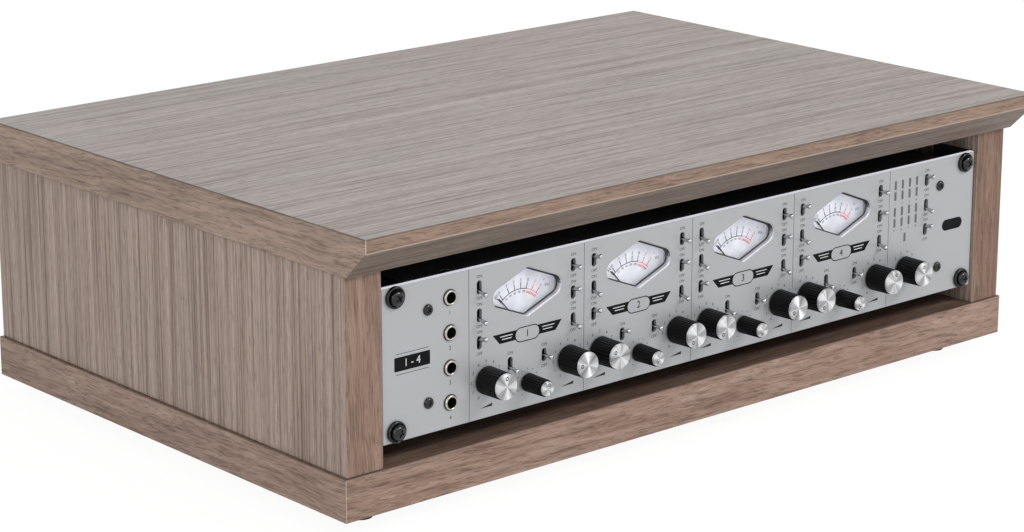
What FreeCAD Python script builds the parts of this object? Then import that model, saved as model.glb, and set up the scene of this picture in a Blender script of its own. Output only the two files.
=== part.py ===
import FreeCAD, Part
import Sketcher
import math
import os
import re

# Desktop rack case of oak-faced board, with a two-unit, four-channel preamplifier screwed into its rails.
# Millimetres. X runs to the right seen from the front, Y to the back and Z up.
# The origin is on the floor under the middle of the whole object.

# Case: boards, nose of the top, fixings and feet
CASE_SIZES = {
    "base_depth": 350.0,
    "board_thickness": 25.0,
    "top_overhang": 20.0,
    "nose_height": 8.3,
    "bevel_run": 17.5,
    "side_recess": 2.2,
    "side_setback": 1.2,
    "edge_radius": 0.6,
    "dowel_radius": 4.0,
    "dowel_in_top": 14.0,
    "dowel_in_side": 20.0,
    "dowel_inset": 45.0,
    "board_screw_radius": 3.2,
    "board_screw_length": 50.0,
    "board_screw_head_radius": 5.0,
    "board_screw_head_height": 4.0,
    "snug_gap": 0.1,
    "end_gap": 0.5,
    "foot_height": 11.0,
    "foot_radius": 8.0,
    "foot_taper": 1.0,
    "foot_inset_across": 32.0,
    "foot_inset_along": 28.5,
    "foot_floor": 3.0,
    "wood_screw_radius": 1.75,
    "wood_screw_length": 14.0,
    "wood_screw_head_radius": 3.4,
    "wood_screw_head_height": 2.0,
}

# Steel rails, and what holds the rack unit to them
RAIL_SIZES = {
    "rail_sheet": 2.0,
    "rail_flange": 18.0,
    "rail_depth": 30.0,
    "rack_screw_radius": 2.9,
    "rack_screw_length": 16.0,
    "rack_screw_head_radius": 5.2,
    "rack_screw_head_height": 2.8,
    "rack_screw_crown": 1.0,
    "rack_screw_recess_width": 1.3,
    "rack_screw_recess_span": 5.6,
    "rack_screw_recess_depth": 1.6,
    "washer_radius": 6.3,
    "washer_height": 2.1,
    "washer_bevel": 0.6,
}

# Faceplate, its sections and the places of its controls
PLATE_SIZES = {
    "plate_width": 482.6,
    "plate_height": 88.1,
    "plate_thickness": 3.2,
    "plate_lift": 12.5,
    "plate_setback": 3.0,
    "plate_headroom": 12.4,
    "plate_side_gap": 1.5,
    "rack_hole_inset": 8.75,
    "rack_hole_edge": 5.95,
    "plate_corner_radius": 3.0,
    "rack_slot_radius": 3.4,
    "rack_slot_reach": 1.6,
    "led_half_width": 0.95,
    "led_half_height": 2.85,
    "led_column_pitch": 6.6,
}

# Toggle switches and their levers
SWITCH_SIZES = {
    "switch_slot_radius": 1.9,
    "switch_slot_reach": 2.2,
    "switch_half_width": 3.3,
    "pivot_depth": 9.0,
    "lever_reach": 7.2,
    "lever_root_radius": 0.8,
    "lever_end_radius": 1.2,
    "lever_tip_radius": 1.45,
    "lever_ball_radius": 1.5,
    "ball_gap": 0.08,
    "switch_mouth_half_width": 1.5,
    "switch_mouth_half_height": 3.2,
    "switch_mouth_floor": 1.0,
}
LEVER_THROW = 12.5

# Knobs, their shafts and the potentiometers behind the plate
KNOB_SIZES = {
    "knob_standoff": 1.0,
    "knob_length": 18.0,
    "knob_base_radius": 8.25,
    "knob_front_radius": 7.9,
    "knob_cap_radius": 7.5,
    "knob_mark_reach": 4.8,
    "blend_base_radius": 5.4,
    "blend_front_radius": 5.0,
    "blend_cap_radius": 4.2,
    "blend_mark_reach": 2.3,
    "cap_height": 1.6,
    "cap_bevel": 0.5,
    "mark_radius": 0.85,
    "mark_depth": 0.3,
    "shaft_radius": 3.0,
    "shaft_in_knob": 12.0,
    "shaft_in_body": 8.0,
    "shaft_running_gap": 0.05,
    "shaft_plate_gap": 0.5,
    "pot_half_width": 8.5,
    "blend_pot_half_width": 6.0,
    "control_depth": 12.0,
}

# Meters behind their windows
METER_SIZES = {
    "housing_wall": 1.2,
    "housing_back": 1.5,
    "housing_depth": 4.8,
    "housing_side_margin": 1.1,
    "housing_headroom": 0.75,
    "lens_thickness": 1.0,
    "dial_thickness": 0.8,
    "dial_gap": 0.2,
    "pivot_pin_radius": 0.6,
    "pivot_pin_length": 3.2,
    "needle_running_gap": 0.05,
    "needle_hub_radius": 1.8,
    "needle_hub_height": 0.9,
    "needle_half_width": 0.25,
    "needle_thickness": 0.3,
}
NEEDLE_REST = -42.0

# Jacks, light pipes and rear sockets
SOCKET_SIZES = {
    "jack_bore_radius": 3.25,
    "jack_bore_depth": 24.0,
    "jack_sleeve_radius": 3.95,
    "jack_sleeve_rise": 1.4,
    "jack_depth": 26.0,
    "jack_ring_radius": 4.6,
    "jack_ring_height": 1.2,
    "jack_ring_bevel": 0.4,
    "light_pipe_setback": 0.1,
    "socket_flange_half_width": 13.0,
    "socket_flange_half_height": 15.5,
    "socket_flange_thickness": 2.0,
    "socket_barrel_radius": 11.5,
    "socket_barrel_depth": 20.0,
    "socket_mouth_radius": 8.3,
    "socket_mouth_depth": 9.0,
    "socket_core_radius": 5.8,
    "socket_core_setback": 1.0,
    "socket_pin_radius": 1.3,
    "socket_pin_circle": 3.3,
    "inlet_flange_half_width": 25.0,
    "inlet_flange_half_height": 11.5,
    "inlet_body_half_width": 13.8,
    "inlet_body_half_height": 10.0,
    "inlet_depth": 20.0,
    "inlet_mouth_half_width": 12.0,
    "inlet_mouth_half_height": 8.0,
    "inlet_mouth_depth": 15.0,
    "inlet_blade_pitch": 7.0,
    "inlet_blade_drop": 2.5,
    "inlet_blade_half_width": 1.0,
    "inlet_blade_half_height": 2.0,
    "inlet_blade_length": 12.0,
}

# Chassis and what is in it
CHASSIS_SIZES = {
    "chassis_depth": 290.0,
    "chassis_inset": 2.05,
    "sheet": 1.2,
    "front_lip": 10.0,
    "cover_skirt": 12.0,
    "vent_length": 60.0,
    "vent_width": 4.0,
    "vent_inset": 60.0,
    "screw_radius": 1.9,
    "screw_length": 6.5,
    "screw_head_radius": 3.3,
    "screw_head_height": 1.7,
    "cover_screw_length": 3.0,
    "cover_screw_inset": 5.0,
    "board_sheet": 1.6,
    "standoff_height": 8.0,
    "standoff_radius": 3.0,
    "standoff_inset": 8.0,
    "main_board_rear_gap": 28.0,
    "can_radius": 9.0,
    "can_height": 35.0,
    "tube_socket_radius": 11.0,
    "tube_socket_height": 8.0,
    "tube_radius": 10.2,
    "tube_setback": 106.8,
    "capacitor_setback": 60.0,
    "front_board_gap": 1.2,
    "coil_outer_radius": 46.0,
    "coil_inner_radius": 14.0,
    "coil_height": 40.0,
    "coil_round": 8.0,
    "coil_rear_gap": 24.0,
    "coil_disc_thickness": 2.0,
    "coil_disc_radius": 38.0,
    "coil_bolt_radius": 4.0,
    "cut_overrun": 1.0,
}

# Places and sizes that are shares of the faceplate's height
PLATE_HEIGHT_SHARES = {
    "upper_row": 0.8660613,
    "middle_row": 0.6833144,
    "lower_row": 0.5028377,
    "inner_row": 0.3132804,
    "knob_row": 0.2497162,
    "blend_row": 0.1623156,
    "meter_row": 0.7627696,
    "meter_half_height": 0.1611805,
    "meter_end_radius": 0.0703746,
    "meter_crown_radius": 0.0340522,
    "first_jack_row": 0.1634506,
    "jack_pitch": 0.2281498,
    "lock_row": 0.4835414,
    "led_row_pitch": 0.0794552,
    "led_group_pitch": 0.1963678,
    "led_top_row": 0.8785471,
    "plate_screw_reach": 0.3019296,
    "switch_half_height": 0.0726447,
    "housing_floor_reach": 0.2633371,
    "pivot_drop": 0.2236095,
    "needle_length": 0.2576617,
    "coil_radius": 0.1362089,
    "jack_half_height": 0.0908059,
    "rail_screw_reach": 0.3405221,
    "tube_height": 0.4994325,
}

# Places and sizes that are shares of the faceplate's width
PLATE_WIDTH_SHARES = {
    "input_section_width": 0.1263987,
    "channel_pitch": 0.1774762,
    "jack_column": 0.098218,
    "master_column": 0.9082056,
    "clock_column": 0.8682138,
    "plate_screw_inset": 0.0658931,
    "chassis_width": 0.9075839,
    "front_board_left": 0.1284708,
    "front_board_right": 0.9241608,
    "jack_half_width": 0.0140903,
}

# Places across a channel and its meter, as shares of the channels' pitch
CHANNEL_SHARES = {
    "left_column_reach": 0.4109749,
    "right_column_reach": 0.4039696,
    "inner_column_reach": 0.1482779,
    "knob_reach": 0.3561004,
    "meter_half_width": 0.2977233,
}

# Places across the chassis, as shares of its width
CHASSIS_SHARES = {
    "front_flange": 0.0342466,
    "main_board_left": 0.4178082,
    "main_board_right": 0.1940639,
    "can_pitch": 0.0684932,
    "tube_pitch": 0.1369863,
    "first_tube": -0.3424658,
    "coil_across": 0.3424658,
    "cover_screw_pitch": 0.216895,
    "first_socket": -0.4223744,
    "socket_pitch": 0.0913242,
    "inlet_place": 0.3767123,
    "vent_pitch": 0.0273973,
}

# Places that follow from the sizes, each as a formula of the cells above it
PLACES = {
    "floor_level": "0 * board_thickness",
    "plate_half": "plate_width / 2",
    "rack_pitch_across": "plate_width - 2 * rack_hole_inset",
    "rack_pitch_up": "plate_height - 2 * rack_hole_edge",
    "bay_height": "plate_lift + plate_height + plate_headroom",
    "chassis_height": "plate_height - 2 * chassis_inset",
    "side_inner": "plate_half + plate_side_gap",
    "side_outer": "side_inner + board_thickness",
    "side_middle": "side_outer - board_thickness / 2",
    "case_half": "side_outer + side_recess",
    "case_width": "2 * case_half",
    "case_back": "(base_depth + top_overhang) / 2",
    "nose_front": "-(base_depth + top_overhang) / 2",
    "base_front": "nose_front + top_overhang",
    "bevel_back": "nose_front + bevel_run",
    "nose_low": "board_thickness - nose_height",
    "base_top": "foot_height + board_thickness",
    "slab_bottom": "base_top + bay_height",
    "side_front": "base_front + side_setback",
    "side_back": "case_back - side_setback",
    "plate_front": "base_front + plate_setback",
    "plate_back": "plate_front + plate_thickness",
    "plate_bottom": "base_top + plate_lift",
    "plate_top": "plate_bottom + plate_height",
    "plate_middle": "plate_bottom + plate_height / 2",
    "rail_inner": "side_inner - rail_flange",
    "rail_face_back": "plate_back + rail_sheet",
    "rail_back": "plate_back + rail_depth",
    "rail_web": "side_inner - rail_sheet",
    "rail_screw_place": "plate_back + rail_depth * 2 / 3",
    "first_channel": "-plate_half + input_section_width + channel_pitch / 2",
    "controls_back": "plate_back + control_depth",
    "pivot_place": "plate_front + pivot_depth",
    "chassis_half": "chassis_width / 2",
    "tray_half": "chassis_half - sheet",
    "tray_inside": "tray_half - sheet",
    "chassis_bottom": "plate_middle - chassis_height / 2",
    "tray_floor": "chassis_bottom + sheet",
    "chassis_top": "plate_middle + chassis_height / 2",
    "tray_top": "chassis_top - sheet",
    "chassis_back": "plate_back + chassis_depth",
    "rear_inside": "chassis_back - sheet",
    "main_board_low": "tray_floor + standoff_height",
    "main_board_top": "main_board_low + board_sheet",
    "main_board_back": "chassis_back - main_board_rear_gap",
    "tube_row": "controls_back + tube_setback",
    "coil_along": "rear_inside - inlet_depth - coil_rear_gap - coil_outer_radius",
    "cavity_half": "meter_half_width + housing_side_margin",
    "cavity_top": "plate_height - chassis_inset - 2 * sheet - housing_headroom - housing_wall - meter_row",
    "grip_length": "knob_length - knob_standoff - cap_height",
    "shaft_length": "shaft_in_knob + plate_thickness + shaft_in_body",
    "rack_screw_edge": "rack_screw_head_height - rack_screw_crown",
    "rack_screw_shoulder": "rack_screw_head_radius - rack_screw_crown",
    "coil_ring_foot": "coil_outer_radius - coil_round",
    "coil_shoulder": "coil_height - coil_round",
}

# Rest positions of the levers in each row, channel 1 to 4: 1 is up, -1 is down and 0 is the middle
LEVER_ROWS = {
    "phantom": ("left", "upper_row", (-1, 1, -1, 1)),
    "pad": ("left", "middle_row", (-1, -1, -1, -1)),
    "input": ("left", "lower_row", (1, 1, 1, 1)),
    "meter": ("right", "upper_row", (0, 0, 0, 0)),
    "filter": ("right", "middle_row", (1, 1, 1, 1)),
    "phase": ("right", "lower_row", (-1, -1, -1, -1)),
    "insert": ("inner_left", "inner_row", (-1, 1, -1, -1)),
    "speed": ("inner_right", "inner_row", (0, 0, 0, 0)),
}
MASTER_LEVERS = {"power": ("upper_row", 1), "sync": ("middle_row", -1), "converter": ("lower_row", 1)}
STATE_WORDS = {1: "up", -1: "down", 0: "middle"}

# Pointer angles of the knobs, clockwise from straight up, channel 1 to 4
GAIN_ANGLES = (0.0, -53.0, -140.0, -147.0)
BLEND_ANGLES = (13.0, -150.0, -150.0, -150.0)
LEVEL_ANGLES = (-90.0, -139.0, -116.0, 18.0)
CLOCK_ANGLE = -11.0
CHANNELS = range(4)

UPRIGHT = FreeCAD.Rotation()
FORWARD = FreeCAD.Rotation(FreeCAD.Vector(1, 0, 0), 90)
BACKWARD = FreeCAD.Rotation(FreeCAD.Vector(1, 0, 0), -90)
DOWNWARD = FreeCAD.Rotation(FreeCAD.Vector(1, 0, 0), 180)
RIGHTWARD = FreeCAD.Rotation(FreeCAD.Vector(0, 1, 0), 90)
LEFTWARD = FreeCAD.Rotation(FreeCAD.Vector(0, 1, 0), -90)

doc = FreeCAD.newDocument("rack_stand")
sheet = doc.addObject("Spreadsheet::Sheet", "sizes")
nodes = []


def fill_sheet():
    """Put every size in a cell of its own, named by its alias, and every place below them as a formula."""
    tables = (CASE_SIZES, RAIL_SIZES, PLATE_SIZES, SWITCH_SIZES, KNOB_SIZES, METER_SIZES, SOCKET_SIZES,
              CHASSIS_SIZES)
    shared = (("plate_height", PLATE_HEIGHT_SHARES), ("plate_width", PLATE_WIDTH_SHARES),
              ("channel_pitch", CHANNEL_SHARES), ("chassis_width", CHASSIS_SHARES))
    cells = [(name, str(number)) for table in tables for name, number in table.items()]
    for whole, shares in shared:
        for name, share in shares.items():
            cells += [(name + "_share", str(share)), (name, f"={whole} * {name}_share")]
    cells += [(name, "=" + text) for name, text in PLACES.items()]
    for row, (name, content) in enumerate(cells, start=1):
        sheet.set(f"A{row}", name)
        sheet.set(f"B{row}", content)
        sheet.setAlias(f"B{row}", name)
    doc.recompute()


def formula(text):
    """The text of a formula with the sheet's name before each size."""
    return re.sub(r"[a-z]\w+", r"sizes.\g<0>", text)


def size(name):
    """The number in a cell, or less that number where the name starts with a minus."""
    if name.startswith("-"):
        return -float(sheet.get(name[1:]))
    return float(sheet.get(name))


def seat(item, across, along, up, turn=UPRIGHT):
    """Bind the place of an object to three formulas."""
    item.Placement = FreeCAD.Placement(FreeCAD.Vector(), turn)
    for axis, text in zip("xyz", (across, along, up)):
        item.setExpression(f"Placement.Base.{axis}", formula(text))
    return item


def block(name, across, along, up):
    """A block between a low and a high place on each axis."""
    item = doc.addObject("Part::Box", name)
    for edge, (low, high) in zip(("Length", "Width", "Height"), (across, along, up)):
        item.setExpression(edge, formula(f"({high}) - ({low})"))
    return seat(item, across[0], along[0], up[0])


def rod(name, radius, length, place, turn=UPRIGHT):
    """A round rod that starts at a place and runs where the turn points."""
    item = doc.addObject("Part::Cylinder", name)
    item.setExpression("Radius", formula(radius))
    item.setExpression("Height", formula(length))
    return seat(item, *place, turn)


def cone(name, low_radius, high_radius, length, place, turn=UPRIGHT):
    """A tapered rod that starts at a place and runs where the turn points."""
    item = doc.addObject("Part::Cone", name)
    item.setExpression("Radius1", formula(low_radius))
    item.setExpression("Radius2", formula(high_radius))
    item.setExpression("Height", formula(length))
    return seat(item, *place, turn)


def ball(name, radius, place):
    item = doc.addObject("Part::Sphere", name)
    item.setExpression("Radius", formula(radius))
    return seat(item, *place)


def joined(name, items):
    """Several solids as one."""
    item = doc.addObject("Part::MultiFuse", name)
    item.Shapes = items
    return item


def cut(name, base, tools):
    """A solid with others taken out of it."""
    tool = tools[0] if len(tools) == 1 else joined(name + "_cuts", tools)
    item = doc.addObject("Part::Cut", name)
    item.Base = base
    item.Tool = tool
    return item


def together(name, items):
    """Several separate solids as one object."""
    item = doc.addObject("Part::Compound", name)
    item.Links = items
    return item


def node(item, label):
    """Name an object as one of the pieces that are written out."""
    item.Label = label
    nodes.append(item)
    return item


def copies(label, pattern, places):
    """A node of separate copies of one pattern, each at its own placement."""
    doc.recompute()
    solids = []
    for placement in places:
        for solid in pattern.Shape.Solids:
            copy = solid.copy()
            copy.Placement = placement.multiply(solid.Placement)
            solids.append(copy)
    item = doc.addObject("Part::Feature", label)
    item.Shape = Part.makeCompound(solids)
    return node(item, label)


def moved(label, pattern, placement):
    """A node that is one copy of a pattern, carried by its placement."""
    doc.recompute()
    item = doc.addObject("Part::Feature", label)
    item.Shape = pattern.Shape.copy()
    item.Placement = placement
    return node(item, label)


def at(across, along, up, turn=UPRIGHT):
    return FreeCAD.Placement(FreeCAD.Vector(across, along, up), turn)


def plane_of(body, role):
    return next(feature for feature in body.Origin.OriginFeatures if feature.Role == role)


def outline(body, role, corners):
    """A closed outline of straight lines on one of the body's planes, each corner tied to two cells."""
    sketch = body.newObject("Sketcher::SketchObject", body.Name + "_outline")
    sketch.AttachmentSupport = [(plane_of(body, role), "")]
    sketch.MapMode = "FlatFace"
    points = [FreeCAD.Vector(size(first), size(second), 0) for first, second in corners]
    for start, end in zip(points, points[1:] + points[:1]):
        sketch.addGeometry(Part.LineSegment(start, end))
    for index in range(len(points)):
        sketch.addConstraint(Sketcher.Constraint("Coincident", index, 2, (index + 1) % len(points), 1))
    for index, names in enumerate(corners):
        for kind, name, letter in zip(("DistanceX", "DistanceY"), names, "xy"):
            number = sketch.addConstraint(Sketcher.Constraint(kind, -1, 1, index, 1, size(name)))
            sketch.renameConstraint(number, f"corner_{index}_{letter}")
            sketch.setExpression(f"Constraints.corner_{index}_{letter}", formula(name))
    return sketch


def padded(name, role, corners, length):
    """A body whose outline is drawn on a plane through its origin and padded away from it."""
    body = doc.addObject("PartDesign::Body", name)
    sketch = outline(body, role, corners)
    pad = body.newObject("PartDesign::Pad", name + "_pad")
    pad.Profile = sketch
    pad.setExpression("Length", formula(length))
    body.Tip = pad
    return body


def eased(body):
    """Round every edge of a body a little, as edge banding is."""
    doc.recompute()
    pad = body.Tip
    fillet = body.newObject("PartDesign::Fillet", body.Name + "_edges")
    fillet.Base = (pad, [""])
    fillet.UseAllEdges = True
    fillet.setExpression("Radius", formula("edge_radius"))
    body.Tip = fillet
    return body


def turned(name, corners):
    """A body turned about its upright axis from an outline of radii and heights."""
    body = doc.addObject("PartDesign::Body", name)
    sketch = outline(body, "XZ_Plane", corners)
    spin = body.newObject("PartDesign::Revolution", name + "_spin")
    spin.Profile = sketch
    spin.ReferenceAxis = (sketch, ["V_Axis"])
    spin.Angle = 360
    body.Tip = spin
    return body


# Case

def dowel_places():
    """Where the dowels stand, across and along, with the side that each joins."""
    alongs = ("side_front + dowel_inset", "(side_front + side_back) / 2", "side_back - dowel_inset")
    return [(sign, along) for sign in ("-", "") for along in alongs]


def top_panel():
    corners = (("nose_front", "board_thickness"), ("nose_front", "nose_low"), ("bevel_back", "floor_level"),
               ("case_back", "floor_level"), ("case_back", "board_thickness"))
    board = eased(seat(padded("top_board", "YZ_Plane", corners, "case_width"),
                       "-case_half", "floor_level", "slab_bottom"))
    holes = [rod(f"top_hole_{index}", "dowel_radius + snug_gap", "dowel_in_top + end_gap + cut_overrun",
                 (f"{sign}side_middle", along, "slab_bottom - cut_overrun"))
             for index, (sign, along) in enumerate(dowel_places())]
    node(cut("top_panel_cut", board, holes), "top_panel")


def base_panel():
    corners = (("-case_half", "base_front"), ("case_half", "base_front"),
               ("case_half", "case_back"), ("-case_half", "case_back"))
    board = eased(seat(padded("base_board", "XY_Plane", corners, "board_thickness"),
                       "floor_level", "floor_level", "foot_height"))
    holes = []
    for index, (sign, along) in enumerate(dowel_places()):
        place = (f"{sign}side_middle", along, "foot_height - cut_overrun")
        holes.append(rod(f"base_hole_{index}", "board_screw_radius + snug_gap",
                         "board_thickness + 2 * cut_overrun", place))
        holes.append(rod(f"base_sink_{index}", "board_screw_head_radius + snug_gap",
                         "board_screw_head_height + end_gap + cut_overrun", place))
    for index, (across, along) in enumerate(foot_places()):
        holes.append(rod(f"foot_hole_{index}", "wood_screw_radius + snug_gap",
                         "wood_screw_length - foot_floor + end_gap + cut_overrun",
                         (across, along, "foot_height - cut_overrun")))
    node(cut("base_panel_cut", board, holes), "base_panel")


def side_panels():
    corners = (("side_inner", "side_front"), ("side_outer", "side_front"),
               ("side_outer", "side_back"), ("side_inner", "side_back"))
    for word, sign in (("left", "-"), ("right", "")):
        signed = tuple((sign + across, along) for across, along in corners)
        board = eased(seat(padded(word + "_board", "XY_Plane", signed, "bay_height"),
                           "floor_level", "floor_level", "base_top"))
        holes = []
        for index, (side, along) in enumerate(dowel_places()):
            if side != sign:
                continue
            holes.append(rod(f"{word}_dowel_hole_{index}", "dowel_radius + snug_gap",
                             "dowel_in_side + end_gap + cut_overrun",
                             (f"{sign}side_middle", along, "slab_bottom - dowel_in_side - end_gap")))
            holes.append(rod(f"{word}_screw_hole_{index}", "board_screw_radius + snug_gap",
                             "board_screw_length - board_thickness + board_screw_head_height + cut_overrun",
                             (f"{sign}side_middle", along, "base_top - cut_overrun")))
        turn = LEFTWARD if word == "left" else RIGHTWARD
        for index, up in enumerate(rail_screw_heights()):
            holes.append(rod(f"{word}_rail_hole_{index}", "wood_screw_radius + snug_gap",
                             "wood_screw_length + end_gap + cut_overrun",
                             (f"{sign}(side_inner - cut_overrun)", "rail_screw_place", up), turn))
        node(cut(word + "_side_cut", board, holes), word + "_side_panel")


def panel_dowels():
    dowels = [rod(f"dowel_{index}", "dowel_radius", "dowel_in_side + dowel_in_top",
                  (f"{sign}side_middle", along, "slab_bottom - dowel_in_side"))
              for index, (sign, along) in enumerate(dowel_places())]
    node(together("dowels", dowels), "panel_dowels")


def panel_screws():
    screws = []
    for index, (sign, along) in enumerate(dowel_places()):
        place = (f"{sign}side_middle", along, "foot_height + end_gap")
        head = rod(f"board_screw_head_{index}", "board_screw_head_radius", "board_screw_head_height", place)
        shank = rod(f"board_screw_shank_{index}", "board_screw_radius", "board_screw_length", place)
        screws.append(joined(f"board_screw_{index}", [head, shank]))
    node(together("board_screws", screws), "panel_screws")


def rail_screw_heights():
    return ("plate_middle - rail_screw_reach", "plate_middle", "plate_middle + rail_screw_reach")


def rack_rails():
    """Two steel angles: a flange behind each end of the faceplate and a web on the side panel."""
    for word, sign in (("left", "-"), ("right", "")):
        corners = (("rail_inner", "plate_back"), ("side_inner", "plate_back"), ("side_inner", "rail_back"),
                   ("rail_web", "rail_back"), ("rail_web", "rail_face_back"), ("rail_inner", "rail_face_back"))
        signed = tuple((sign + across, along) for across, along in corners)
        angle = seat(padded(word + "_angle", "XY_Plane", signed, "plate_height"),
                     "floor_level", "floor_level", "plate_bottom")
        holes = [rod(f"{word}_rack_hole_{index}", "rack_screw_radius + snug_gap",
                     "rail_sheet + 2 * cut_overrun",
                     (f"{sign}rack_pitch_across / 2", "plate_back - cut_overrun",
                      f"plate_middle {lift} rack_pitch_up / 2"), BACKWARD)
                 for index, lift in enumerate("+-")]
        turn = LEFTWARD if word == "left" else RIGHTWARD
        for index, up in enumerate(rail_screw_heights()):
            holes.append(rod(f"{word}_web_hole_{index}", "wood_screw_radius + snug_gap",
                             "rail_sheet + 2 * cut_overrun",
                             (f"{sign}(rail_web - cut_overrun)", "rail_screw_place", up), turn))
        node(cut(word + "_rail_cut", angle, holes), word + "_rack_rail")


def foot_places():
    alongs = ("base_front + foot_inset_along", "case_back - foot_inset_along")
    return [(f"{sign}(case_half - foot_inset_across)", along) for sign in ("-", "") for along in alongs]


def foot_points():
    across = size("case_half") - size("foot_inset_across")
    front = size("base_front") + size("foot_inset_along")
    back = size("case_back") - size("foot_inset_along")
    return [(side * across, along) for side in (-1, 1) for along in (front, back)]


def rubber_feet():
    """A tapered rubber foot with a well for its screw's head."""
    origin = ("floor_level", "floor_level", "floor_level")
    pad = cone("foot_pad", "foot_radius - foot_taper", "foot_radius", "foot_height", origin)
    well = rod("foot_well", "wood_screw_head_radius + end_gap", "foot_height - foot_floor + cut_overrun",
               ("floor_level", "floor_level", "-cut_overrun"))
    hole = rod("foot_screw_hole", "wood_screw_radius + snug_gap", "foot_height + cut_overrun", origin)
    foot = cut("foot", pad, [well, hole])
    copies("rubber_feet", foot, [at(across, along, 0) for across, along in foot_points()])


def wood_screws():
    """One pan-head screw, pointing down its own axis, at each foot and three times in each rail."""
    origin = ("floor_level", "floor_level", "floor_level")
    head = cone("wood_screw_head", "wood_screw_head_radius", "wood_screw_radius", "wood_screw_head_height",
                origin)
    shank = rod("wood_screw_shank", "wood_screw_radius", "wood_screw_length",
                ("floor_level", "floor_level", "-wood_screw_length"))
    screw = joined("wood_screw", [head, shank])
    seat_height = size("foot_height") - size("foot_floor")
    places = [at(across, along, seat_height, DOWNWARD) for across, along in foot_points()]
    for side, turn in ((-1, RIGHTWARD), (1, LEFTWARD)):
        for step in (-1, 0, 1):
            places.append(at(side * size("rail_web"), size("rail_screw_place"),
                             size("plate_middle") + step * size("rail_screw_reach"), turn))
    copies("wood_screws", screw, places)


# Faceplate

def lozenge(depth):
    """The window of a meter: a flat lozenge whose four corners are arcs, as thick as the depth."""
    end_radius = size("meter_end_radius")
    crown_radius = size("meter_crown_radius")
    end = FreeCAD.Vector(size("meter_half_width") - end_radius, 0, 0)
    crown = FreeCAD.Vector(0, size("meter_half_height") - crown_radius, 0)
    span = crown - end
    lean = math.atan2(span.y, span.x) - math.acos((end_radius - crown_radius) / span.Length)
    centres = ((end, end_radius, 0.0), (crown, crown_radius, math.pi / 2),
               (-end, end_radius, math.pi), (-crown, crown_radius, math.pi * 3 / 2))
    arcs = []
    for centre, radius, middle in centres:
        half = lean if radius == end_radius else math.pi / 2 - lean
        points = [centre + FreeCAD.Vector(math.cos(middle + turn), math.sin(middle + turn), 0) * radius
                  for turn in (-half, 0, half)]
        arcs.append(Part.Arc(*points).toShape())
    edges = []
    for arc, following in zip(arcs, arcs[1:] + arcs[:1]):
        edges.append(arc)
        edges.append(Part.makeLine(arc.Vertexes[-1].Point, following.Vertexes[0].Point))
    return Part.Face(Part.Wire(edges)).extrude(FreeCAD.Vector(0, 0, depth))


def channel_place(index):
    return f"first_channel + {index} * channel_pitch"


def channel_point(index):
    return size("first_channel") + index * size("channel_pitch")


def plate_point(across, up):
    """A place on the faceplate, from its lower left corner, as a placement that faces forward."""
    return at(across - size("plate_half"), size("plate_front"), size("plate_bottom") + up, FORWARD)


def column_shift(column):
    shifts = {"left": "-left_column_reach", "right": "right_column_reach",
              "inner_left": "-inner_column_reach", "inner_right": "inner_column_reach"}
    return shifts[column]


def slot_cutter(name, across, up):
    """Cuts a switch's upright slot through the plate."""
    depth = ("plate_front - cut_overrun", "plate_back + cut_overrun")
    ends = [rod(f"{name}_{word}", "switch_slot_radius", "plate_thickness + 2 * cut_overrun",
                (across, depth[0], f"{up} {sign} switch_slot_reach"), BACKWARD)
            for word, sign in (("top", "+"), ("low", "-"))]
    middle = block(name + "_middle", (f"{across} - switch_slot_radius", f"{across} + switch_slot_radius"),
                   depth, (f"{up} - switch_slot_reach", f"{up} + switch_slot_reach"))
    return ends + [middle]


def round_cutter(name, radius, across, up):
    return rod(name, radius, "plate_thickness + 2 * cut_overrun",
               (across, "plate_front - cut_overrun", up), BACKWARD)


def led_places():
    """Where the light pipes are, across and up from the plate's lower left corner."""
    columns = [f"clock_column + {step} * led_column_pitch" for step in (-1.5, -0.5, 0.5, 1.5)]
    rows = ("led_top_row", "led_top_row - led_row_pitch", "led_top_row - led_group_pitch",
            "led_top_row - led_group_pitch - led_row_pitch")
    return [(column, row) for row in rows for column in columns] + [("clock_column", "lock_row")]


def led_points():
    columns = [size("clock_column") + step * size("led_column_pitch") for step in (-1.5, -0.5, 0.5, 1.5)]
    top = size("led_top_row")
    rows = (top, top - size("led_row_pitch"), top - size("led_group_pitch"),
            top - size("led_group_pitch") - size("led_row_pitch"))
    return [(column, row) for row in rows for column in columns] + [(size("clock_column"), size("lock_row"))]


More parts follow.
